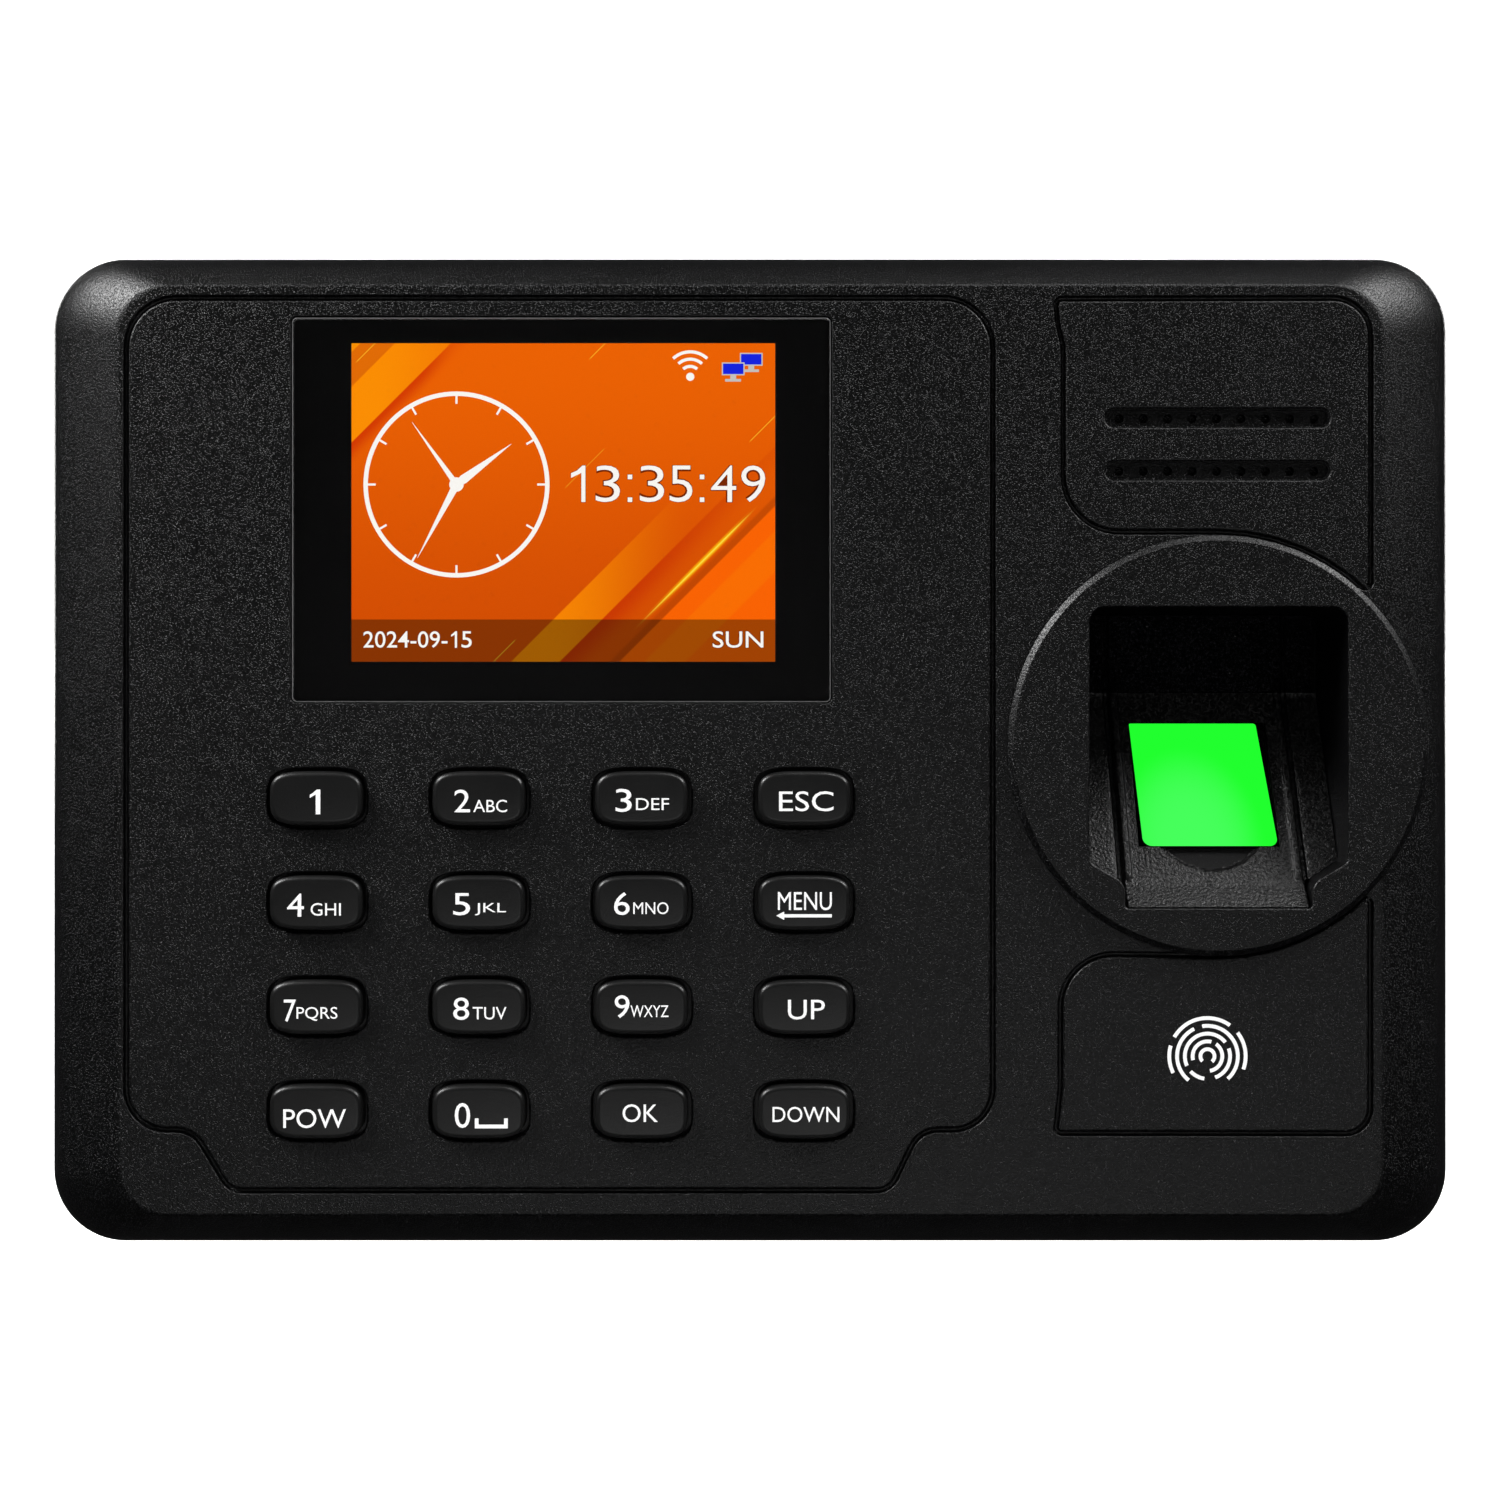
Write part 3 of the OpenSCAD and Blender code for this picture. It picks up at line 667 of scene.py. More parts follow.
# ---- Display ----
# A 2.8 inch colour panel in a black frame behind the lens. It is lit from within and shows a clock
# on a striped orange ground, the time, the date, and signs for the wireless and wired networks.

def lit(red, green, blue):
    """A colour of the lit screen from 8-bit values."""
    return tuple((value / 255) ** 2.2 for value in (red, green, blue)) + (1.0,)


screen = (57.6, 43.3)
screen_low = (-54.18, 12.0)
date_bar = 5.75
panel_low = low_of("lcd_module")
panel_high = high_of("lcd_module")
panel_front = -panel_low[1]
panel_back = -panel_high[1]
screen_depth = panel_front - 0.08


def between(value, low, high, soft=0.06):
    """1 between low and high and 0 outside, with soft edges."""
    return value.rise(low - soft, low + soft) * (1 - value.rise(high - soft, high + soft))


def shadow(value, edge, end):
    """Starts sharply at an edge and fades to nothing at its end."""
    return value.rise(edge - 0.05, edge + 0.05) * (1 - value.rise(edge, end))


def picture(place):
    """Orange ground with slanting bands, thin bright lines and a darker strip along the bottom.
    u and v are millimetres from the picture's lower left corner."""
    x, y, z = place.axes()
    u = x * (1 / MM) - screen_low[0]
    v = z * (1 / MM) - screen_low[1]
    slant = u - v
    far_edge = slant.rise(45, 47.5).blend(lit(255, 112, 0), lit(250, 74, 0))
    far_band = between(slant, 39.8, 45.4).blend(lit(255, 101, 0), far_edge)
    along = u.rise(37, 48) * (1 - u.rise(49, 56))
    layers = [(between(slant, -60, -37.4) * 0.75, lit(224, 112, 12)),
              (between(slant, -60, -42.1) * 0.9, lit(255, 150, 6)),
              (between(slant, -37.4, -29.8) * (1 - u.rise(2, 16) * 0.45), lit(255, 143, 0)),
              (shadow(slant, -29.8, -26.6) * (1 - u.rise(9, 15) * 0.7) * 0.75, lit(206, 40, 0)),
              (between(slant, 21.7, 28.3) * (1 - u.rise(26, 47)) * 0.9, lit(255, 140, 0)),
              (shadow(slant, 28.3, 33.2) * (1 - u.rise(38, 58) * 0.7) * 0.7, lit(200, 48, 0)),
              (slant.rise(36.35, 36.45) * 0.95, far_band),
              (between(slant, 35.1, 36.4, 0.3) * 0.55, lit(176, 66, 0)),
              ((between(slant, 34.0, 34.1, 0.75) * along * 3.6).rise(0, 1), lit(255, 176, 20)),
              ((between(slant, 34.02, 34.1, 0.16) * along * 3.4).rise(0, 1), lit(255, 228, 70))]
    for line, start, end, strength in ((-40.1, 0.7, 3.4, 0.9), (-8.8, 32.4, 34.7, 0.9),
                                       (24.2, 54.2, 58, 0.9), (5.4, 29.1, 34.3, 0.45),
                                       (19.3, 19.3, 22.2, 0.9)):
        streak = between(slant, line - 0.07, line + 0.07) * between(u, start, end, 0.2)
        layers.append((streak * strength, lit(255, 190, 45)))
    colour = v.rise(2, 44).blend(lit(213, 80, 0), lit(238, 99, 0))
    for mask, paint in layers:
        colour = mask.blend(colour, paint)
    strip = 1 - v.rise(date_bar - 0.04, date_bar + 0.04)
    dim = colour.node("ShaderNodeMix", {"data_type": "RGBA", "blend_type": "MULTIPLY"},
                      {0: 1.0, 6: colour, 7: (0.37, 0.44, 0.5, 1)}, out=2)
    return {"Emission Color": strip.blend(colour, dim)}


backlit = {"Emission Strength": 1.3, "Base Color": shade(0.0), "Specular IOR Level": 0.0}
picture_lit = finish("lit_picture", backlit, picture)
dot_waves = 34900


def glowing(colour):
    """An evenly lit colour, with the faint grid that the panel's dots give it."""
    def vary(place):
        x, y, z = place.axes()
        dots = (x * dot_waves).wave() * (z * dot_waves).wave()
        return {"Emission Color": dots.rise(-1, 1).blend(tuple(c * 0.96 for c in colour), colour)}
    return vary


white_lit = finish("lit_white", backlit, glowing((1, 0.98, 0.93, 1)))
blue_lit = finish("lit_blue", backlit, glowing(lit(28, 40, 225)))
grey_lit = finish("lit_grey", backlit, glowing(lit(200, 196, 190)))
brown_lit = finish("lit_outline", backlit, glowing(lit(120, 44, 0)))


def lettering(skin, words, box, depth, layer, weight=0.0, thick=0.012):
    """Printed or lit characters fitted to a box of (low x, low z, high x, high z)."""
    letters = bpy.data.curves.new("letters", "FONT")
    letters.body = words
    letters.extrude = 0.5
    letters.offset = weight
    letters.resolution_u = 4
    holder = bpy.data.objects.new("letters", letters)
    bpy.context.scene.collection.objects.link(holder)
    bpy.context.view_layer.update()
    mesh = bpy.data.meshes.new_from_object(
        holder.evaluated_get(bpy.context.evaluated_depsgraph_get()))
    bpy.data.objects.remove(holder)
    low = [min(vertex.co[axis] for vertex in mesh.vertices) for axis in (0, 1)]
    high = [max(vertex.co[axis] for vertex in mesh.vertices) for axis in (0, 1)]
    scale = [(box[2 + axis] - box[axis]) / (high[axis] - low[axis]) for axis in (0, 1)]
    for polygon in mesh.polygons:
        points = []
        for corner in polygon.vertices:
            co = mesh.vertices[corner].co
            x = box[0] + (co.x - low[0]) * scale[0]
            z = box[1] + (co.y - low[1]) * scale[1]
            points.append((x, depth + (co.z + 0.5) * thick, z))
        way = polygon.normal
        skin.face(points, [(way.x, way.z, way.y)] * len(points), layer)
    bpy.data.meshes.remove(mesh)


def figure_one(box, stroke):
    """The figure 1 with its flag, which the font draws as a bare bar."""
    left, low, right, high = box
    bar = right - stroke
    height = high - low
    return outline([(right, low, 0.01), (right, high, 0.01), (right - stroke * 0.75, high, 0.01),
                    (bar - 0.12 * height, high - 0.14 * height, 0.05), (left, high - 0.21 * height, 0.01),
                    (left, high - 0.34 * height, 0.01), (bar, high - 0.2 * height, 0.01),
                    (bar, low, 0.01)], 2)


def arc_band(x, z, inner_r, outer_r, start, end, steps=16):
    """A curved strip between two angles, given in degrees."""
    angles = [math.radians(start + (end - start) * i / steps) for i in range(steps + 1)]
    outer = [(x + outer_r * math.cos(a), z + outer_r * math.sin(a), math.cos(a), math.sin(a))
             for a in angles]
    back = [(x + inner_r * math.cos(a), z + inner_r * math.sin(a), -math.cos(a), -math.sin(a))
            for a in reversed(angles)]
    return outer + back


def hand(x, z, angle, tip, tail, width):
    """A clock hand: a long thin kite. The angle is in degrees clockwise from twelve."""
    c, s = math.cos(math.radians(angle)), math.sin(math.radians(angle))
    kite = [(0, -tail), (width / 2, width * 0.9), (0.02, tip), (-0.02, tip), (-width / 2, width * 0.9)]
    return outline([(x + a * c + b * s, z - a * s + b * c, 0.008) for a, b in kite], 2)


def on_screen(u, v):
    """A place on the lit picture, measured from its lower left corner."""
    return (screen_low[0] + u, screen_low[1] + v)


def sign_plate(low, high, r=0.05):
    """A small rectangle on the screen between two corners."""
    centre = on_screen((low[0] + high[0]) / 2, (low[1] + high[1]) / 2)
    return rectangle(centre, (high[0] - low[0], high[1] - low[1]), r)


plastic_frame = grainy(2600, shade(0.003), shade(0.008), 0.4, 0.2, 0.00002)
frame_black = finish("panel_frame", {}, plastic_frame)
panel = Skin()
panel_c = middle("lcd_module")
panel_size = (panel_high[0] - panel_low[0], panel_high[2] - panel_low[2])
panel_line = rectangle(panel_c, panel_size, 0.8)
screen_line = rectangle(on_screen(screen[0] / 2, screen[1] / 2), screen, 0.03)
sweep(panel, panel_line, bend(-0.3, panel_front - 0.3, 0.3, 0, 90, 4)
      + [(0, panel_back, 90), (0, panel_back, 180)])
flat(panel, panel_line, [], panel_back, -1)
flat(panel, moved_out(panel_line, -0.3), [screen_line], panel_front)
sweep(panel, screen_line, [(0, panel_front, -90), (0, screen_depth, -90)])
flat(panel, screen_line, [], screen_depth, 1, 1)

# the clock, the time, the date and the network signs
ink = screen_depth + 0.01
dial = on_screen(14.27, 24.1)
plate(panel, circle(*dial, 12.65, 96), [circle(*dial, 12.05, 96)], ink, ink + 0.01, 2)
for hour in range(12):
    angle = math.radians(hour * 30)
    middle_x = dial[0] + 11.6 * math.sin(angle)
    middle_z = dial[1] + 11.6 * math.cos(angle)
    c, s = math.cos(angle), math.sin(angle)
    tick = outline([(middle_x + a * c + b * s, middle_z - a * s + b * c, 0.01)
                    for a, b in ((-0.14, -0.62), (0.14, -0.62), (0.14, 0.62), (-0.14, 0.62))], 2)
    plate(panel, tick, [], ink, ink + 0.01, 2)
plate(panel, hand(*dial, 53.5, 9.3, 0.9, 1.25), [], ink, ink + 0.012, 2)
plate(panel, hand(*dial, 208, 11.3, 0.9, 0.95), [], ink, ink + 0.014, 2)
plate(panel, hand(*dial, 324.5, 10.4, 0.9, 0.75), [], ink, ink + 0.016, 2)
plate(panel, circle(*dial, 0.98, 24), [], ink, ink + 0.018, 2)
rim_w = 0.06
rim_t = 0.004
white_back = ink + 0.006
white_front = ink + 0.012


def grown(box):
    """A box with room for the outline all round it."""
    return (box[0] - rim_w, box[1] - rim_w, box[2] + rim_w, box[3] + rim_w)


def lit_words(words, low, high, weight):
    """White characters with a thin brown outline behind them."""
    box = on_screen(*low) + on_screen(*high)
    lettering(panel, words, grown(box), ink, 5, weight + 0.025, rim_t)
    lettering(panel, words, box, white_back, 2, weight, white_front - white_back)


def lit_one(low, high, stroke):
    """The figure 1 in the same way."""
    box = on_screen(*low) + on_screen(*high)
    plate(panel, figure_one(grown(box), stroke + 2 * rim_w), [], ink, ink + rim_t, 5)
    plate(panel, figure_one(box, stroke), [], white_back, white_front, 2)


digit_low, digit_high = 21.72, 26.68
lit_one((29.85, digit_low), (31.8, digit_high), 0.55)
for words, start, end in (("3", 33.2, 36.5), ("3", 39.2, 42.5), ("5", 43.25, 46.35),
                          ("4", 48.9, 52.3), ("9", 53.0, 56.25)):
    lit_words(words, (start, digit_low), (end, digit_high), -0.008)
for colon in (37.55, 47.35):
    for dot in (digit_low, digit_low + 3.1):
        square = sign_plate((colon, dot), (colon + 0.62, dot + 0.62), 0.03)
        plate(panel, moved_out(square, rim_w), [], ink, ink + rim_t, 5)
        plate(panel, square, [], white_back, white_front, 2)
lit_words("2024-09-", (1.6, 1.9), (13.05, 4.15), 0.004)
lit_one((13.55, 1.9), (14.35, 4.15), 0.3)
lit_words("5", (14.95, 1.9), (16.35, 4.15), 0.004)
lit_words("SUN", (49.1, 1.9), (56.0, 4.15), 0.004)
radio = on_screen(46.05, 38.75)
plate(panel, circle(*radio, 0.56, 24), [], ink, ink + 0.01, 2)
for radius, half in ((1.62, 42), (2.6, 42), (3.6, 43)):
    plate(panel, arc_band(*radio, radius - 0.42, radius, 90 - half, 90 + half), [], ink, ink + 0.01, 2)
for left, low, lift in ((52.8, 40.25, 0.0), (50.35, 38.95, 0.006)):
    start = ink + lift
    plate(panel, sign_plate((left + 1.15, low - 0.78), (left + 1.95, low + 0.05)), [], start,
          start + 0.002, 4)
    plate(panel, sign_plate((left + 0.45, low - 0.86), (left + 2.6, low - 0.5)), [], start,
          start + 0.003, 4)
    plate(panel, sign_plate((left, low), (left + 3.1, low + 1.75)), [], start, start + 0.004, 4)
    plate(panel, sign_plate((left + 0.16, low + 0.16), (left + 2.94, low + 1.59)), [], start + 0.004,
          start + 0.005, 3)
display = panel.finish("display_panel", frame_black, picture_lit, white_lit, blue_lit, grey_lit,
                       brown_lit)
display.visible_diffuse = False
display.visible_glossy = False
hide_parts("lcd_module")
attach(display, "terminal")


# ---- Keys ----
# Sixteen moulded caps, each with a flange behind the face and a stem that presses a silicone dome on
# the keypad board. Their tops are slightly crowned, and the legends are pad-printed in white.

def satin(place):
    grain = place.noise(5200, 2)
    wear = place.noise(140, 3)
    return {"Base Color": (grain * 0.5 + wear * 0.5).blend(shade(0.003), shade(0.008)),
            "Roughness": grain * 0.12 + wear * 0.12 + 0.22,
            "Normal": grain.bump(0.00002)}


key_black = finish("key_satin", {"Specular IOR Level": 0.45}, satin)
paint_white = grainy(2600, shade(0.72), shade(0.92), 0.4, 0.2, 0.000005, detail=3)
# The white print glows faintly by emission. This is a painted glow that keeps the legends and the
# fingertip sign bright in shade.
legend_glowing = finish("legend_print_glow", {"Emission Color": shade(0.9), "Emission Strength": 0.12},
                      paint_white)
cap_size = (12.45, 7.3)
crown = 0.2
shoulder = 0.75
roll_steps = 7
stem_r = 2.3
stem_round = 0.3
key_top = -low_of("key_1")[1]
print_t = 0.006
legend_top = key_top + print_t
flange_size = (cap_size[0] + 2.85, cap_size[1] + 2.6)
flange_front = inner - 0.1
flange_back = flange_front - 1.2
stem_end = -high_of("key_1")[1]
legends = {
    "key_1": [("1", (-0.72, -2.13, 0.7, 1.19))],
    "key_2": [("2", (-3.22, -1.86, -1.09, 1.18)), ("ABC", (-0.67, -1.86, 3.87, -0.18))],
    "key_3": [("3", (-3.46, -1.82, -1.28, 1.28)), ("DEF", (-0.71, -1.56, 3.74, 0.03))],
    "key_esc": [("ESC", (-3.4, -1.73, 3.91, 0.96))],
    "key_4": [("4", (-3.77, -1.84, -1.5, 1.28)), ("GHI", (-0.6, -1.7, 3.46, 0))],
    "key_5": [("5", (-3.35, -1.65, -1.08, 1.33)), ("JKL", (-0.43, -1.65, 3.74, 0))],
    "key_6": [("6", (-3.66, -1.62, -1.56, 1.45)), ("MNO", (-1.08, -1.5, 3.66, 0.11))],
    "key_menu": [("MENU", (-3.55, -0.96, 3.69, 1.47))],
    "key_7": [("7", (-4.2, -1.9, -2.58, 1.08)), ("PQRS", (-2.5, -1.79, 3.0, 0.09))],
    "key_8": [("8", (-3.35, -1.65, -1.22, 1.36)), ("TUV", (-0.74, -1.59, 3.8, 0.09))],
    "key_9": [("9", (-3.57, -1.39, -1.59, 1.67)), ("WXYZ", (-1.45, -1.28, 3.66, 0.31))],
    "key_up": [("UP", (-2.21, -1.59, 2.75, 1.05))],
    "key_power": [("POW", (-4.28, -2.13, 4.14, 0.43))],
    "key_0": [("0", (-3.15, -2.1, -1.08, 1.25))],
    "key_ok": [("OK", (-2.52, -1.33, 2.24, 1.08))],
    "key_down": [("DOWN", (-4.28, -1.33, 4.7, 0.74))]}
signs = {
    "key_menu": [(-3.8, -1.7), (-2.7, -2.27), (-2.7, -1.93), (3.69, -1.93), (3.69, -1.5),
                 (-2.7, -1.5), (-2.7, -1.13)],
    "key_0": [(-0.45, -2.16), (3.97, -2.16), (3.97, -0.82), (3.47, -0.82), (3.47, -1.66),
              (0.05, -1.66), (0.05, -0.82), (-0.45, -0.82)]}
for name in keys:
    at = middle(name)

    def crowned(x, z):
        """Depth of the cap's gently domed top."""
        across = ((x - at[0]) / (cap_size[0] / 2)) ** 2
        up = ((z - at[1]) / (cap_size[1] / 2)) ** 2
        return key_top - crown * (across + up) / 2

    cap = Skin()
    cap_line = barrel(*at, *cap_size)
    rounded = moved_out(cap_line, -shoulder)
    rings = [[(at[0] + (x - at[0]) * share, at[1] + (z - at[1]) * share) for x, z, nx, nz in rounded]
             for share in (0.25, 0.5, 0.7, 0.85, 1.0)]
    domes = []
    for ring in rings:
        slopes = [((x - at[0]) / (cap_size[0] / 2) ** 2 * crown, (z - at[1]) / (cap_size[1] / 2) ** 2
                   * crown) for x, z in ring]
        domes.append([((x, crowned(x, z), z), (sx, 1, sz)) for (x, z), (sx, sz) in zip(ring, slopes)])
    cap.face([point for point, way in domes[0]], [way for point, way in domes[0]])
    for first, second in zip(domes, domes[1:]):
        cap.band(first, second)
    # the shoulder starts on the dome, whose depth differs round the key
    rolls = []
    for step in range(roll_steps + 1):
        ring = []
        for (point, way), (x, z, nx, nz) in zip(domes[-1], rounded):
            lean = math.atan2(way[0] * nx + way[2] * nz, 1)
            turn = lean + (math.pi / 2 - lean) * step / roll_steps
            out = shoulder * (math.sin(turn) - math.sin(lean)) / (1 - math.sin(lean))
            down = shoulder * (math.cos(lean) - math.cos(turn))
            ring.append(((x + nx * out, point[1] - down, z + nz * out),
                         (nx * math.sin(turn), math.cos(turn), nz * math.sin(turn))))
        rolls.append(ring)
    foot = [((x, flange_front, z), (nx, 0, nz)) for x, z, nx, nz in cap_line]
    for first, second in zip(rolls, rolls[1:] + [foot]):
        cap.band(first, second)
    flange = rectangle(at, flange_size, 1.5)
    stem = circle(*at, stem_r)
    flat(cap, flange, [cap_line], flange_front)
    sweep(cap, flange, [(0, flange_front, 90), (0, flange_back, 90)])
    flat(cap, flange, [stem], flange_back, -1)
    sweep(cap, stem, [(0, flange_back, 90), (0, stem_end + stem_round, 90),
                      (-stem_round, stem_end, 135), (-stem_round, stem_end, 180)])
    flat(cap, moved_out(stem, -stem_round), [], stem_end, -1)
    for words, box in legends[name]:
        placed = (at[0] + box[0], at[1] + box[1], at[0] + box[2], at[1] + box[3])
        if words == "1":
            plate(cap, figure_one(placed, 0.62), [], key_top - crown, legend_top, 1)
        else:
            lettering(cap, words, placed, key_top - crown / 2, 1, 0.0, crown / 2 + print_t)
    if name in signs:
        line = outline([(at[0] + x, at[1] + z, 0.05) for x, z in signs[name]], 2)
        plate(cap, line, [], key_top - crown, legend_top, 1)
    key = cap.finish(name + "_cap", key_black, legend_glowing)
    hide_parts(name)
    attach(key, name)


# the printed sign on the maker's panel: broken rings like the ridges of a fingertip
ridges = Skin()
sign_c = (61.7, -41.3)
for radius, spans in ((1.2, [(-50, 225)]), (2.25, [(-80, 55), (75, 195)]),
                      (3.3, [(-70, 20), (38, 205), (222, 262)]), (4.35, [(-48, 100), (116, 232)]),
                      (5.4, [(-20, 38), (54, 150), (164, 206)])):
    for start, end in spans:
        plate(ridges, arc_band(*sign_c, radius - 0.5, radius, start, end, 24), [], face - 0.05,
              face + 0.012)
# The sign shares the legends' faint painted glow.
sign = ridges.finish("fingertip_sign", legend_glowing)
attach(sign, "terminal")

silicone = grainy(1500, shade(0.07), shade(0.12), 0.5, 0.15, 0.00003)
dress(finish("silicone_rubber", {"Subsurface Weight": 0.1}, silicone), "keypad_mat")


# ---- Finger bay ----
# A separate round moulding that stands 1 mm proud of the face and carries the bay's tube. Inside it
# a grained guide leads the finger down a slope on to the green-lit glass of the optical sensor.

disc_c = (63.1, 0.6)
disc_r = 28.4
disc_top = -low_of("sensor_bezel")[1]
disc_edge = 0.3
disc_bevel = 0.924
rim_depth = disc_top - 0.824
tube_end = -high_of("sensor_bezel")[1]
tube_wall = 1.6
lip = 0.32
disc_back = face + 0.02


def face_under(x, z):
    """Depth of the front shell under the disc, whose right edge overhangs the sloping border."""
    share = min(1.0, (case_w / 2 - abs(x)) / border[0])
    return disc_back - border_drop * (1 - share ** (1 / border_power))


disc = Skin()
disc_line = circle(*disc_c, disc_r, 144)
bevel = bend(-disc_bevel, disc_top - disc_edge, disc_edge, 0, 40, 3)
bevel += bend(-disc_edge, rim_depth, disc_edge, 40, 90, 3)
sweep(disc, disc_line, bevel)
for a, b in zip(disc_line, disc_line[1:] + disc_line[:1]):
    quad = [(a[0], rim_depth, a[1]), (b[0], rim_depth, b[1]), (b[0], face_under(b[0], b[1]), b[1]),
            (a[0], face_under(a[0], a[1]), a[1])]
    disc.face(quad, [(a[2], 0, a[3]), (b[2], 0, b[3]), (b[2], 0, b[3]), (a[2], 0, a[3])])
mouth_line = mouth()
sweep(disc, mouth_line, bend(lip, disc_top - lip, lip, 0, -90)
      + [(0, tube_end, -90), (0, tube_end, 180), (tube_wall, tube_end, 180), (tube_wall, tube_end, 90),
         (tube_wall, disc_back, 90)])
flat(disc, moved_out(disc_line, -disc_bevel), [moved_out(mouth_line, lip)], disc_top)
flat(disc, disc_line, [moved_out(mouth_line, tube_wall)], face_under, -1)
disc_piece = disc.finish("finger_disc", case_black)
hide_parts("sensor_bezel")
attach(disc_piece, "terminal")

glass_angle = math.radians(30)
glass_size = (18.3, 19.6)
glass_c = (62.7, 23.463, -4.7)
bed_low = (-18.1, disc_top - 3.8)
lip_low = (-21.15, disc_top - 0.35)
floor_depth = 16.0
guide_t = 1.8
rail_x = (10.9, 11.3, 11.9, 12.2)
trench_x = (12.1, 12.4, 12.75, 13.05)
channel_w = 12.45
wide_w = 17.25
widening = (-17.9, -15.1)
guide_high = 19.1
flat_from = 8
scoop_r = 8.9
scoop_z = glass_c[2] - glass_size[1] / 2 * math.cos(glass_angle) + scoop_r - 3.4


def step_up(value, low, high):
    """Goes smoothly from 0 at low to 1 at high, on a number."""
    t = max(0.0, min(1.0, (value - low) / (high - low)))
    return t * t * (3 - 2 * t)


def bed_depth(x, z):
    """Depth of the guide's surface; x is measured from the middle of the bay. A raised rail, a
    trench and a lower wing run down each side, and a round scoop is cut below the glass."""
    slope = bed_low[1] - (z - bed_low[0]) * math.tan(glass_angle)
    sill = bed_low[1] + (bed_low[0] - z) * (lip_low[1] - bed_low[1]) / (bed_low[0] - lip_low[0])
    base = slope if z > bed_low[0] else sill
    side = abs(x)
    rail = 0.45 * step_up(side, *rail_x[:2]) * (1 - step_up(side, *rail_x[2:]))
    rail *= step_up(z, bed_low[0] - 0.2, bed_low[0] + 1.2)
    trench = -1.0 * step_up(side, *trench_x[:2]) * (1 - step_up(side, *trench_x[2:]))
    wing = -0.45 * step_up(side, *trench_x[2:])
    away = math.hypot(x, z - scoop_z)
    scoop = -1.1 * (1 - step_up(away, scoop_r - 0.35, scoop_r + 0.05)) * (1 if z < scoop_z else 0)
    soft = 0.12 * max(0.0, 1 - abs(z - bed_low[0]) / 0.5) ** 2
    return max(base + rail + trench + wing + scoop + soft, floor_depth + 0.5 * trench)


def half_width(z):
    """Half the bay's width, less the clearance of the guide."""
    share = (z - widening[0]) / (widening[1] - widening[0])
    return channel_w + (wide_w - channel_w) * max(0.0, min(1.0, share))


def bed_way(x, z):
    """The way that the guide's surface faces."""
    near = 0.04
    return ((bed_depth(x - near, z) - bed_depth(x + near, z)) / (2 * near), 1,
            (bed_depth(x, z - near) - bed_depth(x, z + near)) / (2 * near))


def stops(*spans):
    """Numbers that go through the ends of each span in its own number of equal steps."""
    found = []
    for low, high, count in spans:
        found += [low + (high - low) * i / count for i in range(count)]
    return found + [spans[-1][1]]


hole_left = -9.8
hole_right = 9.55
hole_low = glass_c[2] - (glass_size[1] / 2 + 0.1) * math.cos(glass_angle)
hole_high = glass_c[2] + (glass_size[1] / 2 + 0.1) * math.cos(glass_angle)
side_x = stops((*rail_x[:2], 4), (*rail_x[1:3], 2), (rail_x[2], trench_x[0], 2), (*trench_x[:2], 4),
               (*trench_x[1:3], 2), (*trench_x[2:], 4), (trench_x[3], wide_w, 6))
columns = [-x for x in reversed(side_x[1:])]
columns += stops((-rail_x[0], hole_left, 3), (hole_left, hole_right, 60), (hole_right, rail_x[0], 3))
columns += side_x[1:]
rows = stops((lip_low[0], bed_low[0] - 0.5, 5), (bed_low[0] - 0.5, bed_low[0] + 0.5, 8),
             (bed_low[0] + 0.5, hole_low, 16), (hole_low, hole_high, 12), (hole_high, 8.1, 4),
             (8.1, 8.4, 3), (8.4, guide_high, 4))
guide = Skin()


def guide_spot(i, j, under=0.0):
    """A corner of the guide's grid, on its top or so far under its plain slope."""
    z = rows[j]
    x = max(-half_width(z), min(half_width(z), columns[i]))
    return (bay_c[0] + x, bed_depth(x, z) if not under else
            max(bed_low[1] - (z - bed_low[0]) * math.tan(glass_angle), floor_depth) - under, z)


def holds_glass(i, j):
    """Whether a cell of the guide lies over the glass, where the guide is cut out."""
    x = (columns[i] + columns[i + 1]) / 2
    z = (rows[j] + rows[j + 1]) / 2
    return hole_left < x < hole_right and hole_low < z < hole_high


cells = {(i, j) for i in range(len(columns) - 1) for j in range(len(rows) - 1)
         if not holds_glass(i, j) and half_width((rows[j] + rows[j + 1]) / 2)
         > min(abs(columns[i]), abs(columns[i + 1]))}
for i, j in cells:
    ring = [(i, j), (i + 1, j), (i + 1, j + 1), (i, j + 1)]
    top = [guide_spot(*spot) for spot in ring]
    in_scoop = scoop_z - 9 < rows[j] < hole_low and all(
        math.hypot(x - bay_c[0], z - scoop_z) < scoop_r - 0.2 for x, depth, z in top)
    # cells beyond flat_from, at the back of the bay, take the painted shade; cells in the scoop take the
    # smooth finish
    layer = 2 if rows[j] > flat_from else int(in_scoop)
    guide.face(top, [bed_way(x - bay_c[0], z) for x, depth, z in top], layer)
    guide.face([guide_spot(*spot, guide_t) for spot in ring], [(0, -1, 0)] * 4)
    for beside, a, b, way in (((i - 1, j), ring[3], ring[0], (-1, 0, 0)),
                              ((i, j - 1), ring[0], ring[1], (0, 0, -1)),
                              ((i + 1, j), ring[1], ring[2], (1, 0, 0)),
                              ((i, j + 1), ring[2], ring[3], (0, 0, 1))):
        if beside not in cells:
            guide.face([guide_spot(*a), guide_spot(*b), guide_spot(*b, guide_t), guide_spot(*a, guide_t)],
                       [way] * 4)


def grained(place):
    grain = place.noise(2500, 2, 0.6)
    return {"Base Color": grain.rise(0.4, 0.75).blend(shade(0.001), shade(0.03)),
            "Roughness": grain * 0.2 + 0.22,
            "Normal": grain.bump(0.00022)}


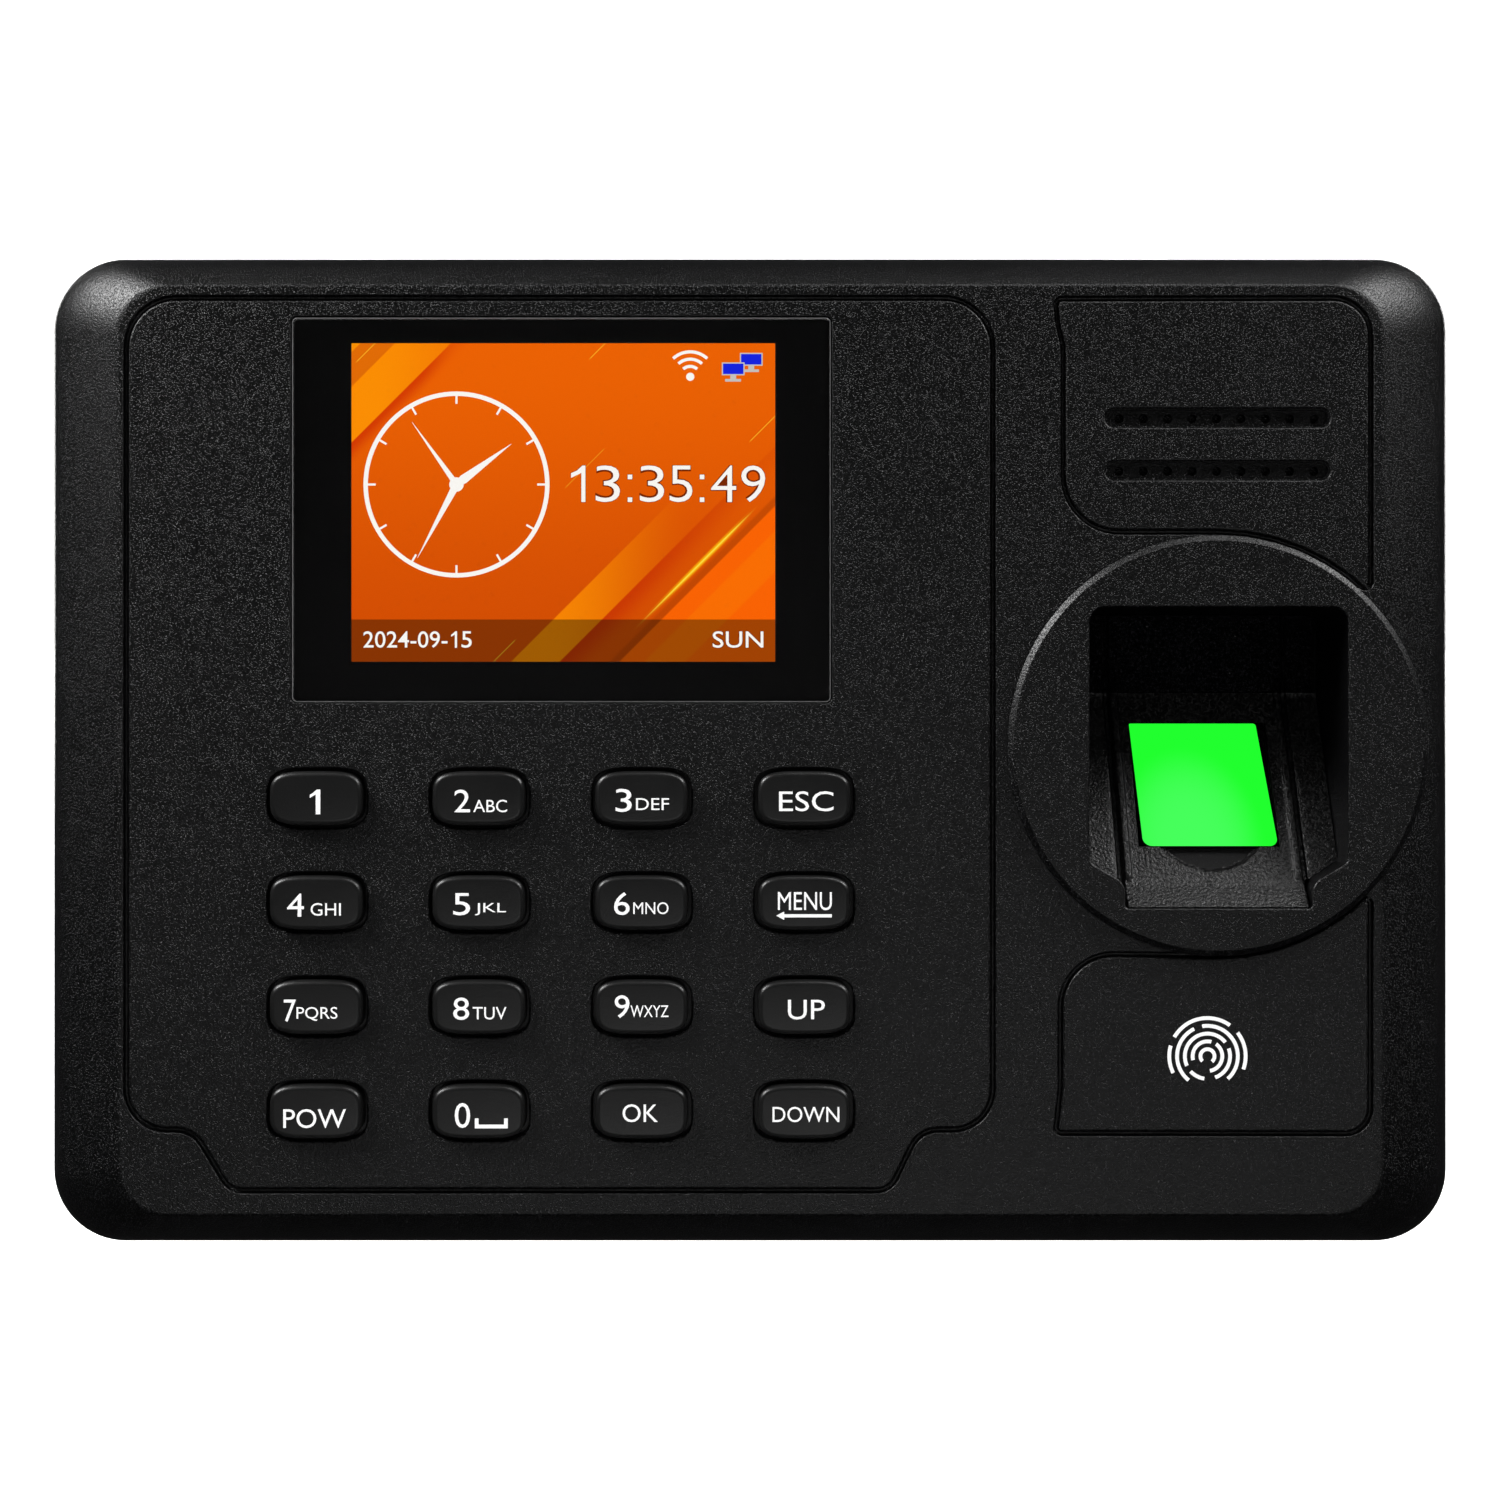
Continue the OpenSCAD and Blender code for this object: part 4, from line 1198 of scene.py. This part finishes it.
guide_black = finish("guide_grained", {"Specular IOR Level": 0.5}, grained)
guide_smooth = finish("guide_smooth", {"Specular IOR Level": 0.3}, moulded(0.00002, 0.5))
# The flat back of the bay is the same moulded plastic with almost no gloss. This is painted shade that
# keeps the deep end of the bay black.
guide_painted_shade = finish("guide_painted_shade", {"Specular IOR Level": 0.05}, moulded(0.00002, 0.7))
guide_piece = guide.finish("finger_bed", guide_black, guide_smooth, guide_painted_shade)
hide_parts("finger_guide")
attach(guide_piece, "terminal")


def lit_green(place):
    """Light from the diodes behind, a little paler towards the glass's lower middle."""
    x, y, z = place.axes()
    across = (x - 0.0605) * 120
    up = (z + 0.0125) * 95
    paler = 1 - (across * across + up * up).rise(0.0, 1.6)
    return {"Emission Color": paler.blend(lit(38, 255, 50), lit(72, 255, 92))}


green = finish("lit_glass", {"Emission Strength": 1.0, "Base Color": shade(0.0), "Roughness": 0.12,
                             "Specular IOR Level": 0.1}, lit_green)
glass = Skin()
half = glass_size[1] / 2 - 0.05
glass_top = 0.06
glass_back = -5
glass_r = 0.12
glass_line = outline([(9.75, -half, 1.1), (8.55, half, 0.5), (-9.3, half, 0.2), (-8.75, -half, 1.3)])
sweep(glass, glass_line, bend(-glass_r, glass_top - glass_r, glass_r, 0, 90, 3))
sweep(glass, glass_line, [(0, glass_top - glass_r, 90), (0, glass_back, 90), (0, glass_back, 180)], 1)
flat(glass, moved_out(glass_line, -glass_r), [], glass_top)
flat(glass, glass_line, [], glass_back, -1, 1)
glass_piece = glass.finish("sensor_prism", green, border_black)
tilt = Matrix.Rotation(-glass_angle, 4, "X")
glass_piece.data.transform(Matrix.Translation(Vector((glass_c[0], -glass_c[1], glass_c[2])) * MM) @ tilt)
glass_piece.visible_diffuse = False
glass_piece.visible_glossy = False
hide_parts("sensor_glass")
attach(glass_piece, "terminal")

led_resin = grainy(800, (0.3, 0.7, 0.35, 1), (0.45, 0.85, 0.5, 1), 0.15, 0.1)
dress(finish("led_resin", {"Transmission Weight": 0.3}, led_resin), "sensor_leds")
dress(frame_black, "sensor_housing")


# ---- Loudspeaker and tamper switch ----
# A small paper-coned loudspeaker is screwed behind the slots, with a dust cloth between. A white
# plunger under the main board stands out at the back, and the wall plate keeps it pressed.

def weave(place):
    x, y, z = place.axes()
    over = (x * 12000).wave() * (z * 12000).wave()
    return {"Base Color": over.rise(-0.6, 0.6).blend(shade(0.002), shade(0.012)),
            "Roughness": over * 0.05 + 0.85,
            "Normal": over.bump(0.00006)}


pulp = grainy(900, shade(0.02), shade(0.06), 0.75, 0.15, 0.0001, detail=4, pull=(1, 4, 1))
ferrite = grainy(1400, shade(0.03), shade(0.06), 0.5, 0.2, 0.00004, detail=3)
nylon = grainy(1100, shade(0.7), shade(0.8, (1, 0.99, 0.96)), 0.4, 0.15, 0.00002)
dress(finish("paper_cone", {}, pulp), "speaker_cone")
dress(finish("ferrite", {"Metallic": 0.3}, ferrite), "speaker_magnet")
dress(finish("dust_cloth", {"Sheen Weight": 0.2}, weave), "speaker_cloth")
dress(finish("white_nylon", {"Subsurface Weight": 0.05}, nylon), "tamper_plunger")


# ---- Floor, light and camera ----
# A pale sweep of paper stands well behind and below the terminal. Soft boxes high on the left and
# right pick out its rounded corners, weaker ones fill its top, lower front and sides, and the room is
# dim, so that the black face stays dark.

paper = grainy(30, shade(0.9), shade(0.94), 0.8, 0.1, detail=4)
white_paper = finish("white_paper", {"Emission Color": shade(1.0), "Emission Strength": 0.45}, paper)
floor_z = -0.17
paper_bend = 0.35
paper_r = 0.3
sweep_points = [(-1.2, floor_z), (paper_bend, floor_z)]
sweep_points += [(paper_bend + paper_r * math.sin(math.radians(a)),
                  floor_z + paper_r * (1 - math.cos(math.radians(a)))) for a in range(6, 91, 6)]
sweep_points.append((paper_bend + paper_r, 1.4))
backdrop_mesh = bpy.data.meshes.new("paper_sweep")
edge_points = [(side * 1.6, y, z) for y, z in sweep_points for side in (-1, 1)]
strips = [(2 * i, 2 * i + 1, 2 * i + 3, 2 * i + 2) for i in range(len(sweep_points) - 1)]
backdrop_mesh.from_pydata(edge_points, [], strips, shade_flat=False)
backdrop_mesh.materials.append(white_paper)
backdrop = bpy.data.objects.new("paper_sweep", backdrop_mesh)
bpy.context.scene.collection.objects.link(backdrop)
backdrop.visible_glossy = False


def soft_box(name, place, size, watts, target=(0.0, -0.034, 0.0)):
    """A rectangular lamp that is turned towards the terminal."""
    lamp = bpy.data.lights.new(name, "AREA")
    lamp.shape = "RECTANGLE"
    lamp.size, lamp.size_y = size
    lamp.energy = watts
    holder = bpy.data.objects.new(name, lamp)
    holder.location = place
    holder.rotation_euler = (Vector(target) - Vector(place)).to_track_quat("-Z", "Y").to_euler()
    bpy.context.scene.collection.objects.link(holder)


soft_box("left_box", (-0.6, -0.215, 0.575), (0.34, 0.34), 9.0)
soft_box("right_box", (0.6, -0.215, 0.575), (0.34, 0.34), 5.0)
soft_box("top_box", (0.2, -0.2, 0.75), (0.2, 0.2), 1.0)
soft_box("low_front_box", (0.1, -0.95, -0.36), (0.8, 0.5), 1.3)
soft_box("back_left_box", (-0.3, 0.6, 0.15), (0.3, 0.3), 2.0)
soft_box("back_right_box", (0.3, 0.6, 0.15), (0.3, 0.3), 2.0)

world = bpy.data.worlds.new("studio")
world.use_nodes = True
bpy.context.scene.world = world
room = Wire(world.node_tree, world.node_tree.nodes["Background"].outputs[0])
seen = room.node("ShaderNodeLightPath", {}, {})
colour = seen.blend(shade(0.02), shade(1.0))
world.node_tree.links.new(colour.socket, world.node_tree.nodes["Background"].inputs["Color"])
bpy.context.scene.view_settings.view_transform = "Standard"

viewer_far = 340.0
camera = bpy.data.cameras.new("camera")
camera.lens = 60.5
camera.clip_start = 0.01
viewer = bpy.data.objects.new("camera", camera)
viewer.location = (0.0, -(face + viewer_far) * MM, 0.0)
viewer.rotation_euler = (math.radians(90), 0.0, 0.0)
bpy.context.scene.collection.objects.link(viewer)
bpy.context.scene.camera = viewer
